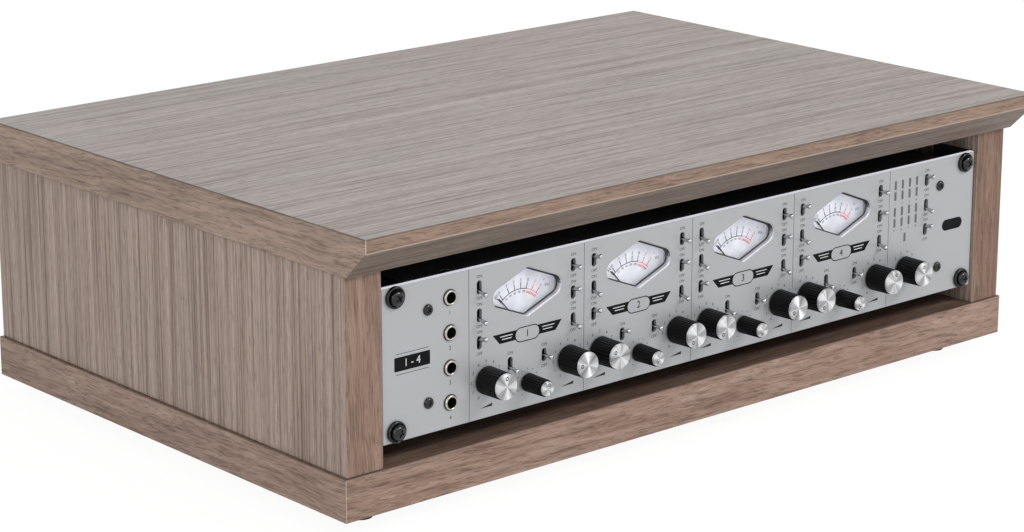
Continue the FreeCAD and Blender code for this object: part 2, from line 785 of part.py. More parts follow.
def front_plate():
    corners = (("-plate_half", "plate_bottom"), ("plate_half", "plate_bottom"),
               ("plate_half", "plate_top"), ("-plate_half", "plate_top"))
    plate = seat(padded("plate_board", "XZ_Plane", corners, "plate_thickness"),
                 "floor_level", "plate_back", "floor_level")
    tools = []
    for index in CHANNELS:
        middle = channel_place(index)
        for row, (column, height, _) in LEVER_ROWS.items():
            tools += slot_cutter(f"slot_{row}_{index}", f"{middle} + {column_shift(column)}",
                                 f"plate_bottom + {height}")
        for word, shift, row in (("gain", "-knob_reach", "knob_row"), ("level", "knob_reach", "knob_row"),
                                 ("blend", "floor_level", "blend_row")):
            tools.append(round_cutter(f"hole_{word}_{index}", "shaft_radius + shaft_plate_gap",
                                      f"{middle} + {shift}", f"plate_bottom + {row}"))
        tools.append(round_cutter(f"hole_jack_{index}", "jack_sleeve_radius + snug_gap",
                                  "-plate_half + jack_column",
                                  f"plate_bottom + first_jack_row + {index} * jack_pitch"))
        window = doc.addObject("Part::Feature", f"window_{index}")
        window.Shape = lozenge(size("plate_thickness") + 2 * size("cut_overrun"))
        window.Placement = at(channel_point(index), size("plate_back") + size("cut_overrun"),
                              size("plate_bottom") + size("meter_row"), FORWARD)
        tools.append(window)
    for word, (height, _) in MASTER_LEVERS.items():
        tools += slot_cutter(f"slot_{word}", "-plate_half + master_column", f"plate_bottom + {height}")
    tools.append(round_cutter("hole_clock", "shaft_radius + shaft_plate_gap", "-plate_half + clock_column",
                              "plate_bottom + knob_row"))
    for index, (across, up) in enumerate(led_places()):
        tools.append(block(f"led_hole_{index}",
                           (f"-plate_half + {across} - led_half_width - snug_gap",
                            f"-plate_half + {across} + led_half_width + snug_gap"),
                           ("plate_front - cut_overrun", "plate_back + cut_overrun"),
                           (f"plate_bottom + {up} - led_half_height - snug_gap",
                            f"plate_bottom + {up} + led_half_height + snug_gap")))
    for side in ("-", ""):
        for index, lift in enumerate("+-"):
            tools.append(round_cutter(f"hole_screw_{side}{index}", "screw_radius + snug_gap",
                                      f"{side}(plate_half - plate_screw_inset)",
                                      f"plate_middle {lift} plate_screw_reach"))
            for end in (-1, 1):
                tools.append(round_cutter(f"rack_slot_{side}{index}{end}", "rack_slot_radius",
                                          f"{side}rack_pitch_across / 2 + {end} * rack_slot_reach",
                                          f"plate_middle {lift} rack_pitch_up / 2"))
            tools.append(block(f"rack_slot_middle_{side}{index}",
                               (f"{side}rack_pitch_across / 2 - rack_slot_reach",
                                f"{side}rack_pitch_across / 2 + rack_slot_reach"),
                               ("plate_front - cut_overrun", "plate_back + cut_overrun"),
                               (f"plate_middle {lift} rack_pitch_up / 2 - rack_slot_radius",
                                f"plate_middle {lift} rack_pitch_up / 2 + rack_slot_radius")))
    node(cut("front_plate_cut", plate, tools), "front_plate")


def rack_points(along):
    """The four places of the standard rack holes, at a given depth."""
    across = size("rack_pitch_across") / 2
    rise = size("rack_pitch_up") / 2
    return [at(side * across, along, size("plate_middle") + lift * rise, FORWARD)
            for side in (-1, 1) for lift in (-1, 1)]


def rack_screws():
    """A domed screw with a cross recess, and the thick cup washer under it."""
    origin = ("floor_level", "floor_level", "floor_level")
    corners = (("floor_level", "-rack_screw_length"), ("rack_screw_radius", "-rack_screw_length"),
               ("rack_screw_radius", "floor_level"), ("rack_screw_head_radius", "floor_level"),
               ("rack_screw_head_radius", "rack_screw_edge"), ("rack_screw_shoulder", "rack_screw_head_height"),
               ("floor_level", "rack_screw_head_height"))
    screw = turned("rack_screw_turned", corners)
    arms = []
    for index, (wide, deep) in enumerate((("span", "width"), ("width", "span"))):
        arms.append(block(f"recess_{index}",
                          (f"-rack_screw_recess_{wide} / 2", f"rack_screw_recess_{wide} / 2"),
                          (f"-rack_screw_recess_{deep} / 2", f"rack_screw_recess_{deep} / 2"),
                          ("rack_screw_head_height - rack_screw_recess_depth",
                           "rack_screw_head_height + cut_overrun")))
    crossed = cut("rack_screw", screw, arms)
    copies("rack_screws", crossed, rack_points(size("plate_front") - size("washer_height")))
    rim = rod("washer_rim", "washer_radius", "washer_height - washer_bevel", origin)
    bevel = cone("washer_top", "washer_radius", "washer_radius - washer_bevel", "washer_bevel",
                 ("floor_level", "floor_level", "washer_height - washer_bevel"))
    bore = rod("washer_bore", "rack_screw_radius + snug_gap", "washer_height + 2 * cut_overrun",
               ("floor_level", "floor_level", "-cut_overrun"))
    washer = cut("washer", joined("washer_blank", [rim, bevel]), [bore])
    copies("cup_washers", washer, rack_points(size("plate_front")))


# Switches

def toggle_switches():
    """The body of a toggle switch, with the mouth that its lever swings in and a seat for its ball."""
    body = block("switch_body", ("-switch_half_width", "switch_half_width"),
                 ("-switch_half_height", "switch_half_height"), ("-control_depth", "floor_level"))
    mouth = block("switch_mouth", ("-switch_mouth_half_width", "switch_mouth_half_width"),
                  ("-switch_mouth_half_height", "switch_mouth_half_height"),
                  ("-pivot_depth + plate_thickness + switch_mouth_floor", "cut_overrun"))
    socket = ball("switch_seat", "lever_ball_radius + ball_gap",
                  ("floor_level", "floor_level", "-pivot_depth + plate_thickness"))
    switch = cut("switch", body, [mouth, socket])
    behind = FreeCAD.Vector(0, size("plate_thickness"), 0)
    places = []
    for point, _ in lever_points():
        place = point.copy()
        place.Base = point.Base + behind
        places.append(place)
    copies("toggle_switches", switch, places)


def lever_points():
    """Each lever's place on the faceplate and its state."""
    points = []
    for column, height, states in LEVER_ROWS.values():
        for index in CHANNELS:
            across = channel_point(index) + size("plate_half") + size_of_shift(column)
            points.append((plate_point(across, size(height)), states[index]))
    for height, state in MASTER_LEVERS.values():
        points.append((plate_point(size("master_column"), size(height)), state))
    return points


def size_of_shift(column):
    return size(column_shift(column))


def switch_levers():
    """Bat levers. Those of a row that rest the same way share a node and turn about the row's own axis."""
    ball_end = ball("lever_ball", "lever_ball_radius", ("floor_level", "floor_level", "floor_level"))
    stem = cone("lever_stem", "lever_root_radius", "lever_end_radius",
                "pivot_depth + lever_reach - lever_tip_radius", ("floor_level", "floor_level", "floor_level"))
    tip = ball("lever_tip", "lever_tip_radius",
               ("floor_level", "floor_level", "pivot_depth + lever_reach - lever_tip_radius"))
    lever = joined("lever", [ball_end, stem, tip])
    behind = FreeCAD.Vector(0, size("pivot_depth"), 0)

    def lever_place(across, height, state):
        place = plate_point(across, size(height))
        tilt = FreeCAD.Rotation(FreeCAD.Vector(1, 0, 0), -LEVER_THROW * state)
        return FreeCAD.Placement(place.Base + behind, tilt.multiply(FORWARD))

    for row, (column, height, states) in LEVER_ROWS.items():
        for state in sorted(set(states), reverse=True):
            places = [lever_place(channel_point(index) + size("plate_half") + size_of_shift(column), height,
                                  state)
                      for index in CHANNELS if states[index] == state]
            word = "levers" if len(places) > 1 else "lever"
            label = f"{row}_{word}"
            if len(set(states)) > 1:
                label += "_" + STATE_WORDS[state]
            copies(label, lever, places)
    for row, (height, state) in MASTER_LEVERS.items():
        copies(f"{row}_lever", lever, [lever_place(size("master_column"), height, state)])


# Knobs and potentiometers

def knob_pattern(word):
    """A tapered grip on a shaft, with a bright cap that carries the pointer mark."""
    middle = ("floor_level", "floor_level")
    grip_solid = cone(f"{word}_grip_solid", f"{word}_base_radius", f"{word}_front_radius", "grip_length",
                      (*middle, "knob_standoff"))
    bore = rod(f"{word}_bore", "shaft_radius + snug_gap", "shaft_in_knob + cut_overrun",
               (*middle, "-cut_overrun"))
    grip = cut(f"{word}_grip", grip_solid, [bore])
    cap_low = rod(f"{word}_cap_low", f"{word}_cap_radius", "cap_height - cap_bevel",
                  (*middle, "knob_length - cap_height"))
    cap_high = cone(f"{word}_cap_high", f"{word}_cap_radius", f"{word}_cap_radius - cap_bevel", "cap_bevel",
                    (*middle, "knob_length - cap_bevel"))
    dot = rod(f"{word}_dot", "mark_radius", "mark_depth + cut_overrun",
              ("floor_level", f"{word}_mark_reach", "knob_length - mark_depth"))
    cap = cut(f"{word}_cap", joined(f"{word}_cap_blank", [cap_low, cap_high]), [dot])
    shaft = rod(f"{word}_shaft", "shaft_radius", "shaft_length",
                (*middle, "-plate_thickness - shaft_in_body"))
    return together(f"{word}_pattern", [grip, cap, shaft])


def knobs():
    large = knob_pattern("knob")
    small = knob_pattern("blend")

    def knob(label, pattern, across, row, angle):
        turn = FreeCAD.Rotation(FreeCAD.Vector(0, 1, 0), angle).multiply(FORWARD)
        place = plate_point(across, size(row))
        moved(label, pattern, FreeCAD.Placement(place.Base, turn))

    for index in CHANNELS:
        middle = channel_point(index) + size("plate_half")
        knob(f"gain_knob_{index + 1}", large, middle - size("knob_reach"), "knob_row", GAIN_ANGLES[index])
        knob(f"blend_knob_{index + 1}", small, middle, "blend_row", BLEND_ANGLES[index])
        knob(f"level_knob_{index + 1}", large, middle + size("knob_reach"), "knob_row", LEVEL_ANGLES[index])
    knob("clock_knob", large, size("clock_column"), "knob_row", CLOCK_ANGLE)


def potentiometers():
    bodies = []
    for word, half in (("pot", "pot_half_width"), ("blend_pot", "blend_pot_half_width")):
        body = block(f"{word}_body", (f"-{half}", half), (f"-{half}", half), ("-control_depth", "floor_level"))
        bore = rod(f"{word}_bore", "shaft_radius + shaft_running_gap", "shaft_in_body + end_gap + cut_overrun",
                   ("floor_level", "floor_level", "-shaft_in_body - end_gap"))
        bodies.append(cut(word, body, [bore]))
    doc.recompute()
    behind = FreeCAD.Vector(0, size("plate_thickness"), 0)
    solids = []
    for index in CHANNELS:
        middle = channel_point(index) + size("plate_half")
        for body, across, row in ((bodies[0], middle - size("knob_reach"), "knob_row"),
                                  (bodies[0], middle + size("knob_reach"), "knob_row"),
                                  (bodies[1], middle, "blend_row")):
            solids.append(placed_behind(body, across, row, behind))
    solids.append(placed_behind(bodies[0], size("clock_column"), "knob_row", behind))
    item = doc.addObject("Part::Feature", "potentiometer_set")
    item.Shape = Part.makeCompound(solids)
    node(item, "potentiometers")


def placed_behind(body, across, row, behind):
    place = plate_point(across, size(row))
    solid = body.Shape.Solids[0].copy()
    solid.Placement = FreeCAD.Placement(place.Base + behind, FORWARD).multiply(solid.Placement)
    return solid


# Meters

def meter_points(behind="plate_thickness"):
    """The middle of each meter's window, at the plate's back face or another depth."""
    return [at(channel_point(index), size("plate_front") + size(behind),
               size("plate_bottom") + size("meter_row"), FORWARD) for index in CHANNELS]


def meters():
    across = ("-cavity_half", "cavity_half")
    up = ("-housing_floor_reach", "cavity_top")
    box = block("housing_box", ("-cavity_half - housing_wall", "cavity_half + housing_wall"),
                ("-housing_floor_reach - housing_wall", "cavity_top + housing_wall"),
                ("-housing_depth - housing_back", "floor_level"))
    hollow = block("housing_hollow", across, up, ("-housing_depth", "cut_overrun"))
    shell = cut("housing_shell", box, [hollow])
    coil = rod("housing_coil", "coil_radius", "control_depth - housing_depth",
               ("floor_level", "floor_level", "-control_depth"))
    pin = rod("pivot_pin", "pivot_pin_radius", "pivot_pin_length + housing_back",
              ("floor_level", "-pivot_drop", "-housing_depth - housing_back"))
    coil_seat = cut("coil_seat", coil, [block("coil_trim", across, up, ("-housing_depth", "cut_overrun"))])
    copies("meter_housings", joined("housing", [shell, coil_seat, pin]), meter_points())
    dial_sheet = block("dial_sheet", ("-cavity_half + dial_gap", "cavity_half - dial_gap"),
                       ("-housing_floor_reach + dial_gap", "cavity_top - dial_gap"),
                       ("-housing_depth", "-housing_depth + dial_thickness"))
    dial_hole = rod("dial_hole", "pivot_pin_radius + dial_gap", "dial_thickness + 2 * cut_overrun",
                    ("floor_level", "-pivot_drop", "-housing_depth - cut_overrun"))
    copies("meter_dials", cut("dial", dial_sheet, [dial_hole]), meter_points())
    lens = block("lens", ("-cavity_half + dial_gap", "cavity_half - dial_gap"),
                 ("-housing_floor_reach + dial_gap", "cavity_top - dial_gap"),
                 ("-lens_thickness", "floor_level"))
    copies("meter_lenses", lens, meter_points())


def needles():
    """A hub on the pivot pin with a thin pointer, turned to where it rests."""
    low = "-housing_depth + dial_thickness + dial_gap"
    hub = rod("needle_hub", "needle_hub_radius", "needle_hub_height", ("floor_level", "floor_level", low))
    arm = block("needle_arm", ("-needle_half_width", "needle_half_width"), ("floor_level", "needle_length"),
                (low, f"{low} + needle_thickness"))
    bore = rod("needle_bore", "pivot_pin_radius + needle_running_gap", "needle_hub_height + 2 * cut_overrun",
               ("floor_level", "floor_level", f"{low} - cut_overrun"))
    needle = cut("needle", joined("needle_blank", [hub, arm]), [bore])
    turn = FreeCAD.Rotation(FreeCAD.Vector(0, 1, 0), NEEDLE_REST).multiply(FORWARD)
    for index, point in enumerate(meter_points()):
        base = point.Base - FreeCAD.Vector(0, 0, size("pivot_drop"))
        moved(f"meter_needle_{index + 1}", needle, FreeCAD.Placement(base, turn))


# Jacks and light pipes

def jacks():
    middle = ("floor_level", "floor_level")
    sleeve = rod("jack_sleeve", "jack_sleeve_radius", "plate_thickness + jack_sleeve_rise",
                 (*middle, "-plate_thickness"))
    body = block("jack_body", ("-jack_half_width", "jack_half_width"), ("-jack_half_height", "jack_half_height"),
                 ("-plate_thickness - jack_depth", "-plate_thickness"))
    bore = rod("jack_bore", "jack_bore_radius", "jack_bore_depth + jack_sleeve_rise + cut_overrun",
               (*middle, "-jack_bore_depth"))
    jack = cut("jack", joined("jack_blank", [sleeve, body]), [bore])
    ring_low = rod("ring_low", "jack_ring_radius", "jack_ring_height - jack_ring_bevel",
                   (*middle, "floor_level"))
    ring_high = cone("ring_high", "jack_ring_radius", "jack_ring_radius - jack_ring_bevel", "jack_ring_bevel",
                     (*middle, "jack_ring_height - jack_ring_bevel"))
    ring_bore = rod("ring_bore", "jack_sleeve_radius + snug_gap", "jack_ring_height + 2 * cut_overrun",
                    (*middle, "-cut_overrun"))
    ring = cut("ring", joined("ring_blank", [ring_low, ring_high]), [ring_bore])
    places = [plate_point(size("jack_column"), size("first_jack_row") + index * size("jack_pitch"))
              for index in CHANNELS]
    copies("jack_sockets", jack, places)
    copies("jack_rings", ring, places)


def light_pipes():
    pipe = block("light_pipe", ("-led_half_width", "led_half_width"), ("-led_half_height", "led_half_height"),
                 ("-plate_thickness - control_depth", "-light_pipe_setback"))
    copies("led_light_pipes", pipe, [plate_point(across, up) for across, up in led_points()])


# Chassis

def chassis_tray():
    """Floor and sides of the chassis, folded in at the front to take the faceplate and the cover."""
    along = ("plate_back", "rear_inside")
    parts = [block("tray_sheet", ("-tray_half", "tray_half"), along, ("chassis_bottom", "tray_floor"))]
    for word, sign in (("left", "-"), ("right", "")):
        low = "-tray_half" if sign else "tray_inside"
        high = "-tray_inside" if sign else "tray_half"
        parts.append(block(f"tray_{word}", (low, high), along, ("chassis_bottom", "tray_top")))
        low = "-tray_inside" if sign else "tray_inside - front_flange"
        high = "-tray_inside + front_flange" if sign else "tray_inside"
        parts.append(block(f"tray_flange_{word}", (low, high), ("plate_back", "plate_back + sheet"),
                           ("tray_floor", "tray_top")))
    parts.append(block("tray_lip", ("-tray_inside", "tray_inside"), ("plate_back", "plate_back + front_lip"),
                       ("tray_top - sheet", "tray_top")))
    holes = [rod(f"tray_screw_hole_{side}{index}", "screw_radius + snug_gap", "sheet + 2 * cut_overrun",
                 (f"{side}(plate_half - plate_screw_inset)", "plate_back - cut_overrun",
                  f"plate_middle {lift} plate_screw_reach"), BACKWARD)
             for side in ("-", "") for index, lift in enumerate("+-")]
    for step in (-2, -1, 0, 1, 2):
        holes.append(rod(f"tray_lip_hole_{step}", "screw_radius + snug_gap", "sheet + 2 * cut_overrun",
                         (f"{step} * cover_screw_pitch", "plate_back + cover_screw_inset",
                          "tray_top - sheet - cut_overrun")))
    node(cut("tray_cut", joined("tray_blank", parts), holes), "chassis_tray")


def chassis_cover():
    """A lid with skirts outside the tray and two rows of vents."""
    along = ("plate_back", "chassis_back")
    parts = [block("cover_sheet", ("-chassis_half", "chassis_half"), along, ("tray_top", "chassis_top")),
             block("cover_skirt_left", ("-chassis_half", "-tray_half"), along,
                   ("tray_top - cover_skirt", "tray_top")),
             block("cover_skirt_right", ("tray_half", "chassis_half"), along,
                   ("tray_top - cover_skirt", "tray_top"))]
    vents = []
    for row, start in enumerate(("plate_back + vent_inset", "chassis_back - vent_inset - vent_length")):
        for step in range(-12, 13):
            middle = f"{step} * vent_pitch"
            vents.append(block(f"vent_{row}_{step}", (f"{middle} - vent_width / 2", f"{middle} + vent_width / 2"),
                               (start, f"{start} + vent_length"),
                               ("tray_top - cut_overrun", "chassis_top + cut_overrun")))
    for step in (-2, -1, 0, 1, 2):
        for word, along_place in (("front", "plate_back + cover_screw_inset"),
                                  ("rear", "chassis_back - sheet - cover_screw_inset")):
            vents.append(rod(f"cover_hole_{word}_{step}", "screw_radius + snug_gap", "sheet + 2 * cut_overrun",
                             (f"{step} * cover_screw_pitch", along_place, "tray_top - cut_overrun")))
    node(cut("cover_cut", joined("cover_blank", parts), vents), "chassis_cover")


def socket_place(index):
    return f"first_socket + {index} * socket_pitch"


def rear_panel():
    """The chassis back, with a lip for the cover's screws and a hole for each socket."""
    sheet_back = block("rear_sheet", ("-tray_half", "tray_half"), ("rear_inside", "chassis_back"),
                       ("chassis_bottom", "tray_top"))
    lip = block("rear_lip", ("-tray_inside", "tray_inside"), ("rear_inside - front_lip", "rear_inside"),
                ("tray_top - sheet", "tray_top"))
    holes = [rod(f"rear_hole_{index}", "socket_barrel_radius + snug_gap", "sheet + 2 * cut_overrun",
                 (socket_place(index), "rear_inside - cut_overrun", "plate_middle"), BACKWARD)
             for index in range(8)]
    holes.append(block("rear_inlet_hole", ("inlet_place - inlet_body_half_width - snug_gap",
                                           "inlet_place + inlet_body_half_width + snug_gap"),
                       ("rear_inside - cut_overrun", "chassis_back + cut_overrun"),
                       ("plate_middle - inlet_body_half_height - snug_gap",
                        "plate_middle + inlet_body_half_height + snug_gap")))
    for step in (-2, -1, 0, 1, 2):
        holes.append(rod(f"rear_lip_hole_{step}", "screw_radius + snug_gap", "sheet + 2 * cut_overrun",
                         (f"{step} * cover_screw_pitch", "chassis_back - sheet - cover_screw_inset",
                          "tray_top - sheet - cut_overrun")))
    node(cut("rear_cut", joined("rear_blank", [sheet_back, lip]), holes), "rear_panel")


def chassis_screws():
    """Small pan-head screws: four through the faceplate and ten shorter ones down through the cover."""
    origin = ("floor_level", "floor_level", "floor_level")
    screws = []
    for word, length in (("screw", "screw_length"), ("cover_screw", "cover_screw_length")):
        head = rod(word + "_head", "screw_head_radius", "screw_head_height", origin)
        shank = rod(word + "_shank", "screw_radius", length, ("floor_level", "floor_level", "-" + length))
        screws.append(joined(word + "_pattern", [head, shank]))
    across = size("plate_half") - size("plate_screw_inset")
    plate_places = [at(side * across, size("plate_front"),
                       size("plate_middle") + lift * size("plate_screw_reach"), FORWARD)
                    for side in (-1, 1) for lift in (-1, 1)]
    front = size("plate_back") + size("cover_screw_inset")
    rear = size("rear_inside") - size("cover_screw_inset")
    cover_places = [at(step * size("cover_screw_pitch"), along, size("chassis_top"))
                    for along in (front, rear) for step in (-2, -1, 0, 1, 2)]
    doc.recompute()
    solids = []
    for screw, places in zip(screws, (plate_places, cover_places)):
        for place in places:
            solid = screw.Shape.Solids[0].copy()
            solid.Placement = place
            solids.append(solid)
    item = doc.addObject("Part::Feature", "screw_set")
    item.Shape = Part.makeCompound(solids)
    node(item, "chassis_screws")


def rear_sockets():
    """Three-pin round sockets in a row across the back."""
    middle = ("floor_level", "floor_level")
    flange = block("socket_flange", ("-socket_flange_half_width", "socket_flange_half_width"),
                   ("-socket_flange_half_height", "socket_flange_half_height"),
                   ("floor_level", "socket_flange_thickness"))
    barrel = rod("socket_barrel", "socket_barrel_radius", "socket_barrel_depth",
                 (*middle, "-socket_barrel_depth"))
    mouth = rod("socket_mouth", "socket_mouth_radius", "socket_mouth_depth + cut_overrun",
                (*middle, "socket_flange_thickness - socket_mouth_depth"))
    shell = cut("socket_shell", joined("socket_blank", [flange, barrel]), [mouth])
    core = rod("socket_core", "socket_core_radius", "socket_mouth_depth - socket_core_setback",
               (*middle, "socket_flange_thickness - socket_mouth_depth"))
    pins = [rod(f"socket_pin_{step}", "socket_pin_radius", "socket_mouth_depth",
                (f"socket_pin_circle * {round(math.cos(math.radians(90 * step)))}",
                 f"socket_pin_circle * {round(math.sin(math.radians(90 * step)))}",
                 "socket_flange_thickness - socket_mouth_depth + end_gap")) for step in (0, 1, 2)]
    socket = cut("socket", joined("socket_full", [shell, core]), pins)
    places = [at(size("first_socket") + index * size("socket_pitch"), size("chassis_back"),
                 size("plate_middle"), BACKWARD) for index in range(8)]
    copies("rear_sockets", socket, places)


def power_inlet():
    """A mains inlet with its three blades, open to the back."""
    flange = block("inlet_flange", ("-inlet_flange_half_width", "inlet_flange_half_width"),
                   ("-inlet_flange_half_height", "inlet_flange_half_height"),
                   ("floor_level", "socket_flange_thickness"))
    body = block("inlet_body", ("-inlet_body_half_width", "inlet_body_half_width"),
                 ("-inlet_body_half_height", "inlet_body_half_height"), ("-inlet_depth", "floor_level"))
    floor = "socket_flange_thickness - inlet_mouth_depth"
    mouth = block("inlet_mouth", ("-inlet_mouth_half_width", "inlet_mouth_half_width"),
                  ("-inlet_mouth_half_height", "inlet_mouth_half_height"),
                  (floor, "socket_flange_thickness + cut_overrun"))
    shell = cut("inlet_shell", joined("inlet_blank", [flange, body]), [mouth])
    blades = [block(f"inlet_blade_{step}",
                    (f"{step} * inlet_blade_pitch - inlet_blade_half_width",
                     f"{step} * inlet_blade_pitch + inlet_blade_half_width"),
                    ("inlet_blade_drop - inlet_blade_half_height",
                     "inlet_blade_drop + inlet_blade_half_height"),
                    (floor, f"{floor} + inlet_blade_length")) for step in (-1, 0, 1)]
    inlet = joined("inlet", [shell] + blades)
    copies("power_inlet", inlet, [at(size("inlet_place"), size("chassis_back"), size("plate_middle"), BACKWARD)])


# What is inside the chassis

def circuit_boards():
    """Main board on standoffs and the upright front board, with tube sockets and capacitors on the main one."""
    main_across = ("-main_board_left", "main_board_right")
    main = block("main_board", main_across, ("controls_back", "main_board_back"),
                 ("main_board_low", "main_board_top"))
    front = block("front_board", ("-plate_half + front_board_left", "-plate_half + front_board_right"),
                  ("controls_back", "controls_back + board_sheet"),
                  ("main_board_top", "tray_top - sheet - front_board_gap"))
    items = [main, front]
    corners = [(across, along) for across in ("-main_board_left + standoff_inset",
                                              "main_board_right - standoff_inset")
               for along in ("controls_back + standoff_inset", "main_board_back - standoff_inset")]
    for index, (across, along) in enumerate(corners):
        items.append(rod(f"standoff_{index}", "standoff_radius", "standoff_height",
                         (across, along, "tray_floor")))
    for index in range(4):
        items.append(rod(f"tube_socket_{index}", "tube_socket_radius", "tube_socket_height",
                         (f"first_tube + {index} * tube_pitch", "tube_row", "main_board_top")))
    for index in range(6):
        items.append(rod(f"capacitor_{index}", "can_radius", "can_height",
                         (f"first_tube + {index} * can_pitch", "tube_row + capacitor_setback", "main_board_top")))
    node(together("boards", items), "circuit_boards")


def vacuum_tubes():
    """Glass envelopes with a domed top, one in each tube socket."""
    tubes = []
    for index in range(4):
        place = (f"first_tube + {index} * tube_pitch", "tube_row")
        glass = rod(f"tube_glass_{index}", "tube_radius", "tube_height",
                    (*place, "main_board_top + tube_socket_height"))
        dome = cone(f"tube_dome_{index}", "tube_radius", "tube_radius / 3", "tube_radius / 2",
                    (*place, "main_board_top + tube_socket_height + tube_height"))
        tubes.append(joined(f"tube_{index}", [glass, dome]))
    node(together("tubes", tubes), "vacuum_tubes")


def power_transformer():
    """A ring-shaped transformer under a steel disc, clamped to the tray by its bolt."""
    corners = (("coil_inner_radius", "floor_level"), ("coil_ring_foot", "floor_level"),
               ("coil_outer_radius", "coil_round"), ("coil_outer_radius", "coil_shoulder"),
               ("coil_ring_foot", "coil_height"), ("coil_inner_radius", "coil_height"))
    ring = seat(turned("coil_ring", corners), "coil_across", "coil_along", "tray_floor")
    disc = rod("coil_disc", "coil_disc_radius", "coil_disc_thickness",
               ("coil_across", "coil_along", "tray_floor + coil_height"))
    bolt = rod("coil_bolt", "coil_bolt_radius", "coil_height", ("coil_across", "coil_along", "tray_floor"))
    node(together("transformer", [ring, disc, bolt]), "power_transformer")


def check_and_write():
    """Stop if any feature failed, then write each node's file."""
    doc.recompute()
    for item in doc.Objects:
        if "Invalid" in item.State or "Error" in item.State:
            raise RuntimeError(f"{item.Name} is {item.State}")
    os.makedirs("parts", exist_ok=True)
    for item in nodes:
        shape = item.Shape
        if shape.isNull() or not shape.isValid() or not shape.Solids:
            raise RuntimeError(f"{item.Label} has no valid shape")
        shape.exportStep(f"parts/{item.Label}.step")
    print(len(nodes), "nodes written")


fill_sheet()
top_panel()
base_panel()
side_panels()
panel_dowels()
panel_screws()
rack_rails()
rubber_feet()
wood_screws()
front_plate()
rack_screws()
toggle_switches()
switch_levers()
knobs()
potentiometers()
meters()
needles()
jacks()
light_pipes()
chassis_tray()
chassis_cover()
rear_panel()
chassis_screws()
rear_sockets()
power_inlet()
circuit_boards()
vacuum_tubes()
power_transformer()
check_and_write()
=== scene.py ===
import math

import bmesh
import bpy
from mathutils import Matrix, Vector


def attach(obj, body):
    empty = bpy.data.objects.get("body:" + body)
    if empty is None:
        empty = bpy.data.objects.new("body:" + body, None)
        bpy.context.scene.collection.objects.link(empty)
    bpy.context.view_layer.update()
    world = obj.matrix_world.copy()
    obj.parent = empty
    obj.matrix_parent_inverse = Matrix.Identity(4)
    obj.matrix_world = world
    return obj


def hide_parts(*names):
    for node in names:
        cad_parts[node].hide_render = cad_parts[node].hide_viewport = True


# Desktop oak rack case with its preamplifier: finishes, knobs, screws, printing and dials.
# Sizes are in millimetres until a piece is finished, and then in metres.

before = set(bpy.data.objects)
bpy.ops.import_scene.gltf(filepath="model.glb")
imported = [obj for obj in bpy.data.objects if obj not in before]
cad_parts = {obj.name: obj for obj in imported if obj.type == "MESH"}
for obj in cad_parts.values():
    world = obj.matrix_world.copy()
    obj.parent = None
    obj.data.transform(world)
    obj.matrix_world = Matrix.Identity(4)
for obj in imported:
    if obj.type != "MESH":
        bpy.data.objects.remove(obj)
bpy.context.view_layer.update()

MM = 0.001
PLATE_LEFT = -241.3
PLATE_FRONT = -162.0
PLATE_BOTTOM = 48.5
PLATE_HEIGHT = 88.1
CHANNELS = range(4)
CHANNEL_PITCH = 85.65
FIRST_CHANNEL = 103.825
CHANNEL_MIDDLES = [FIRST_CHANNEL + index * CHANNEL_PITCH for index in CHANNELS]
FIRST_DIVIDER = 61.0
DIVIDERS = [FIRST_DIVIDER + CHANNEL_PITCH * step for step in range(5)]
PRINT_RISE = 0.03
CORNERS = 64
WELD = 0.0005
SMOOTH_ANGLE = 35

# Places on the faceplate, from its lower left corner
KNOB_REACH = 30.5
KNOB_ROW = 22.0
BLEND_ROW = 14.3
METER_ROW = 67.2
PIVOT_DROP = 19.7
JACK_COLUMN = 47.4
FIRST_JACK_ROW = 14.4
JACK_PITCH = 20.1
CLOCK_COLUMN = 419.0
FIRST_LIGHT = 408.9
LIGHT_PITCH = 6.6
DIAL_DEPTH = 7.2
ARC_RADIUS = 19.7
ARC_END = 44.5
ARC_ZERO = 16.5
ARC_HALF = 0.22
RED_ARC_HALF = 0.18
FIRST_BLOCK = 18.2
BLOCK_PITCH = 3.7
BLOCK_ANGLE = 2.2
MASTER_COLUMN = 438.3
TOGGLE_ROWS = (76.3, 60.2, 44.3)
TOGGLE_COLUMNS = (-35.2, 34.6)
INNER_ROW = 27.6
INNER_REACH = 12.7
SLOT_REACH = 2.2
SLOT_RADIUS = 1.87
LINING_RADIUS = 1.76
LINING_SLOPE = 0.03
RIBBON_ROW = 43.0
LEFT_BADGE = (20.7, 43.8)
RIGHT_BADGE = (463.9, 43.5)
RACK_SCREW_COLUMNS = (8.75, 473.85)
RACK_SCREW_ROWS = (5.95, 82.15)

# Sizes of the printing, and its reach round the knobs
WORD_HEIGHT = 1.8
WORD_RISE = 6.3
NUMBER_REACH = 11.0
DOT_REACH = 8.0
LIGHT_NUMBER_ROWS = (65.25, 48.3)
TICK_LENGTH = 3.7
TICK_HALF_ANGLE = 0.65

# Places at the back, in the frame's millimetres
REAR_FLANGE = 133.2
UNIT_MIDDLE = 92.55
SOCKETS = 8
FIRST_SOCKET = -185.0
SOCKET_PITCH = 40.0
INLET_MIDDLE = 165.0
BLADE_PITCH = 7.0

# Where each knob's mark points, in degrees from straight up
GAIN_ANGLES = (0.0, -53.0, -140.0, -147.0)
BLEND_ANGLES = (13.0, -150.0, -150.0, -150.0)
LEVEL_ANGLES = (-90.0, -139.0, -116.0, 18.0)
CLOCK_ANGLE = -11.0
KNOB_STEPS = range(-150, 151, 30)
CLOCK_STEPS = range(-75, 76, 30)


def paint(red, green, blue):
    """A colour as the shader takes it, from the 0 to 255 of a paint chart."""
    return tuple((c / 255 / 12.92) if c <= 10 else ((c / 255 + 0.055) / 1.055) ** 2.4
                 for c in (red, green, blue))


# Finishes

UNTINTED = (1.0, 1.0, 1.0)


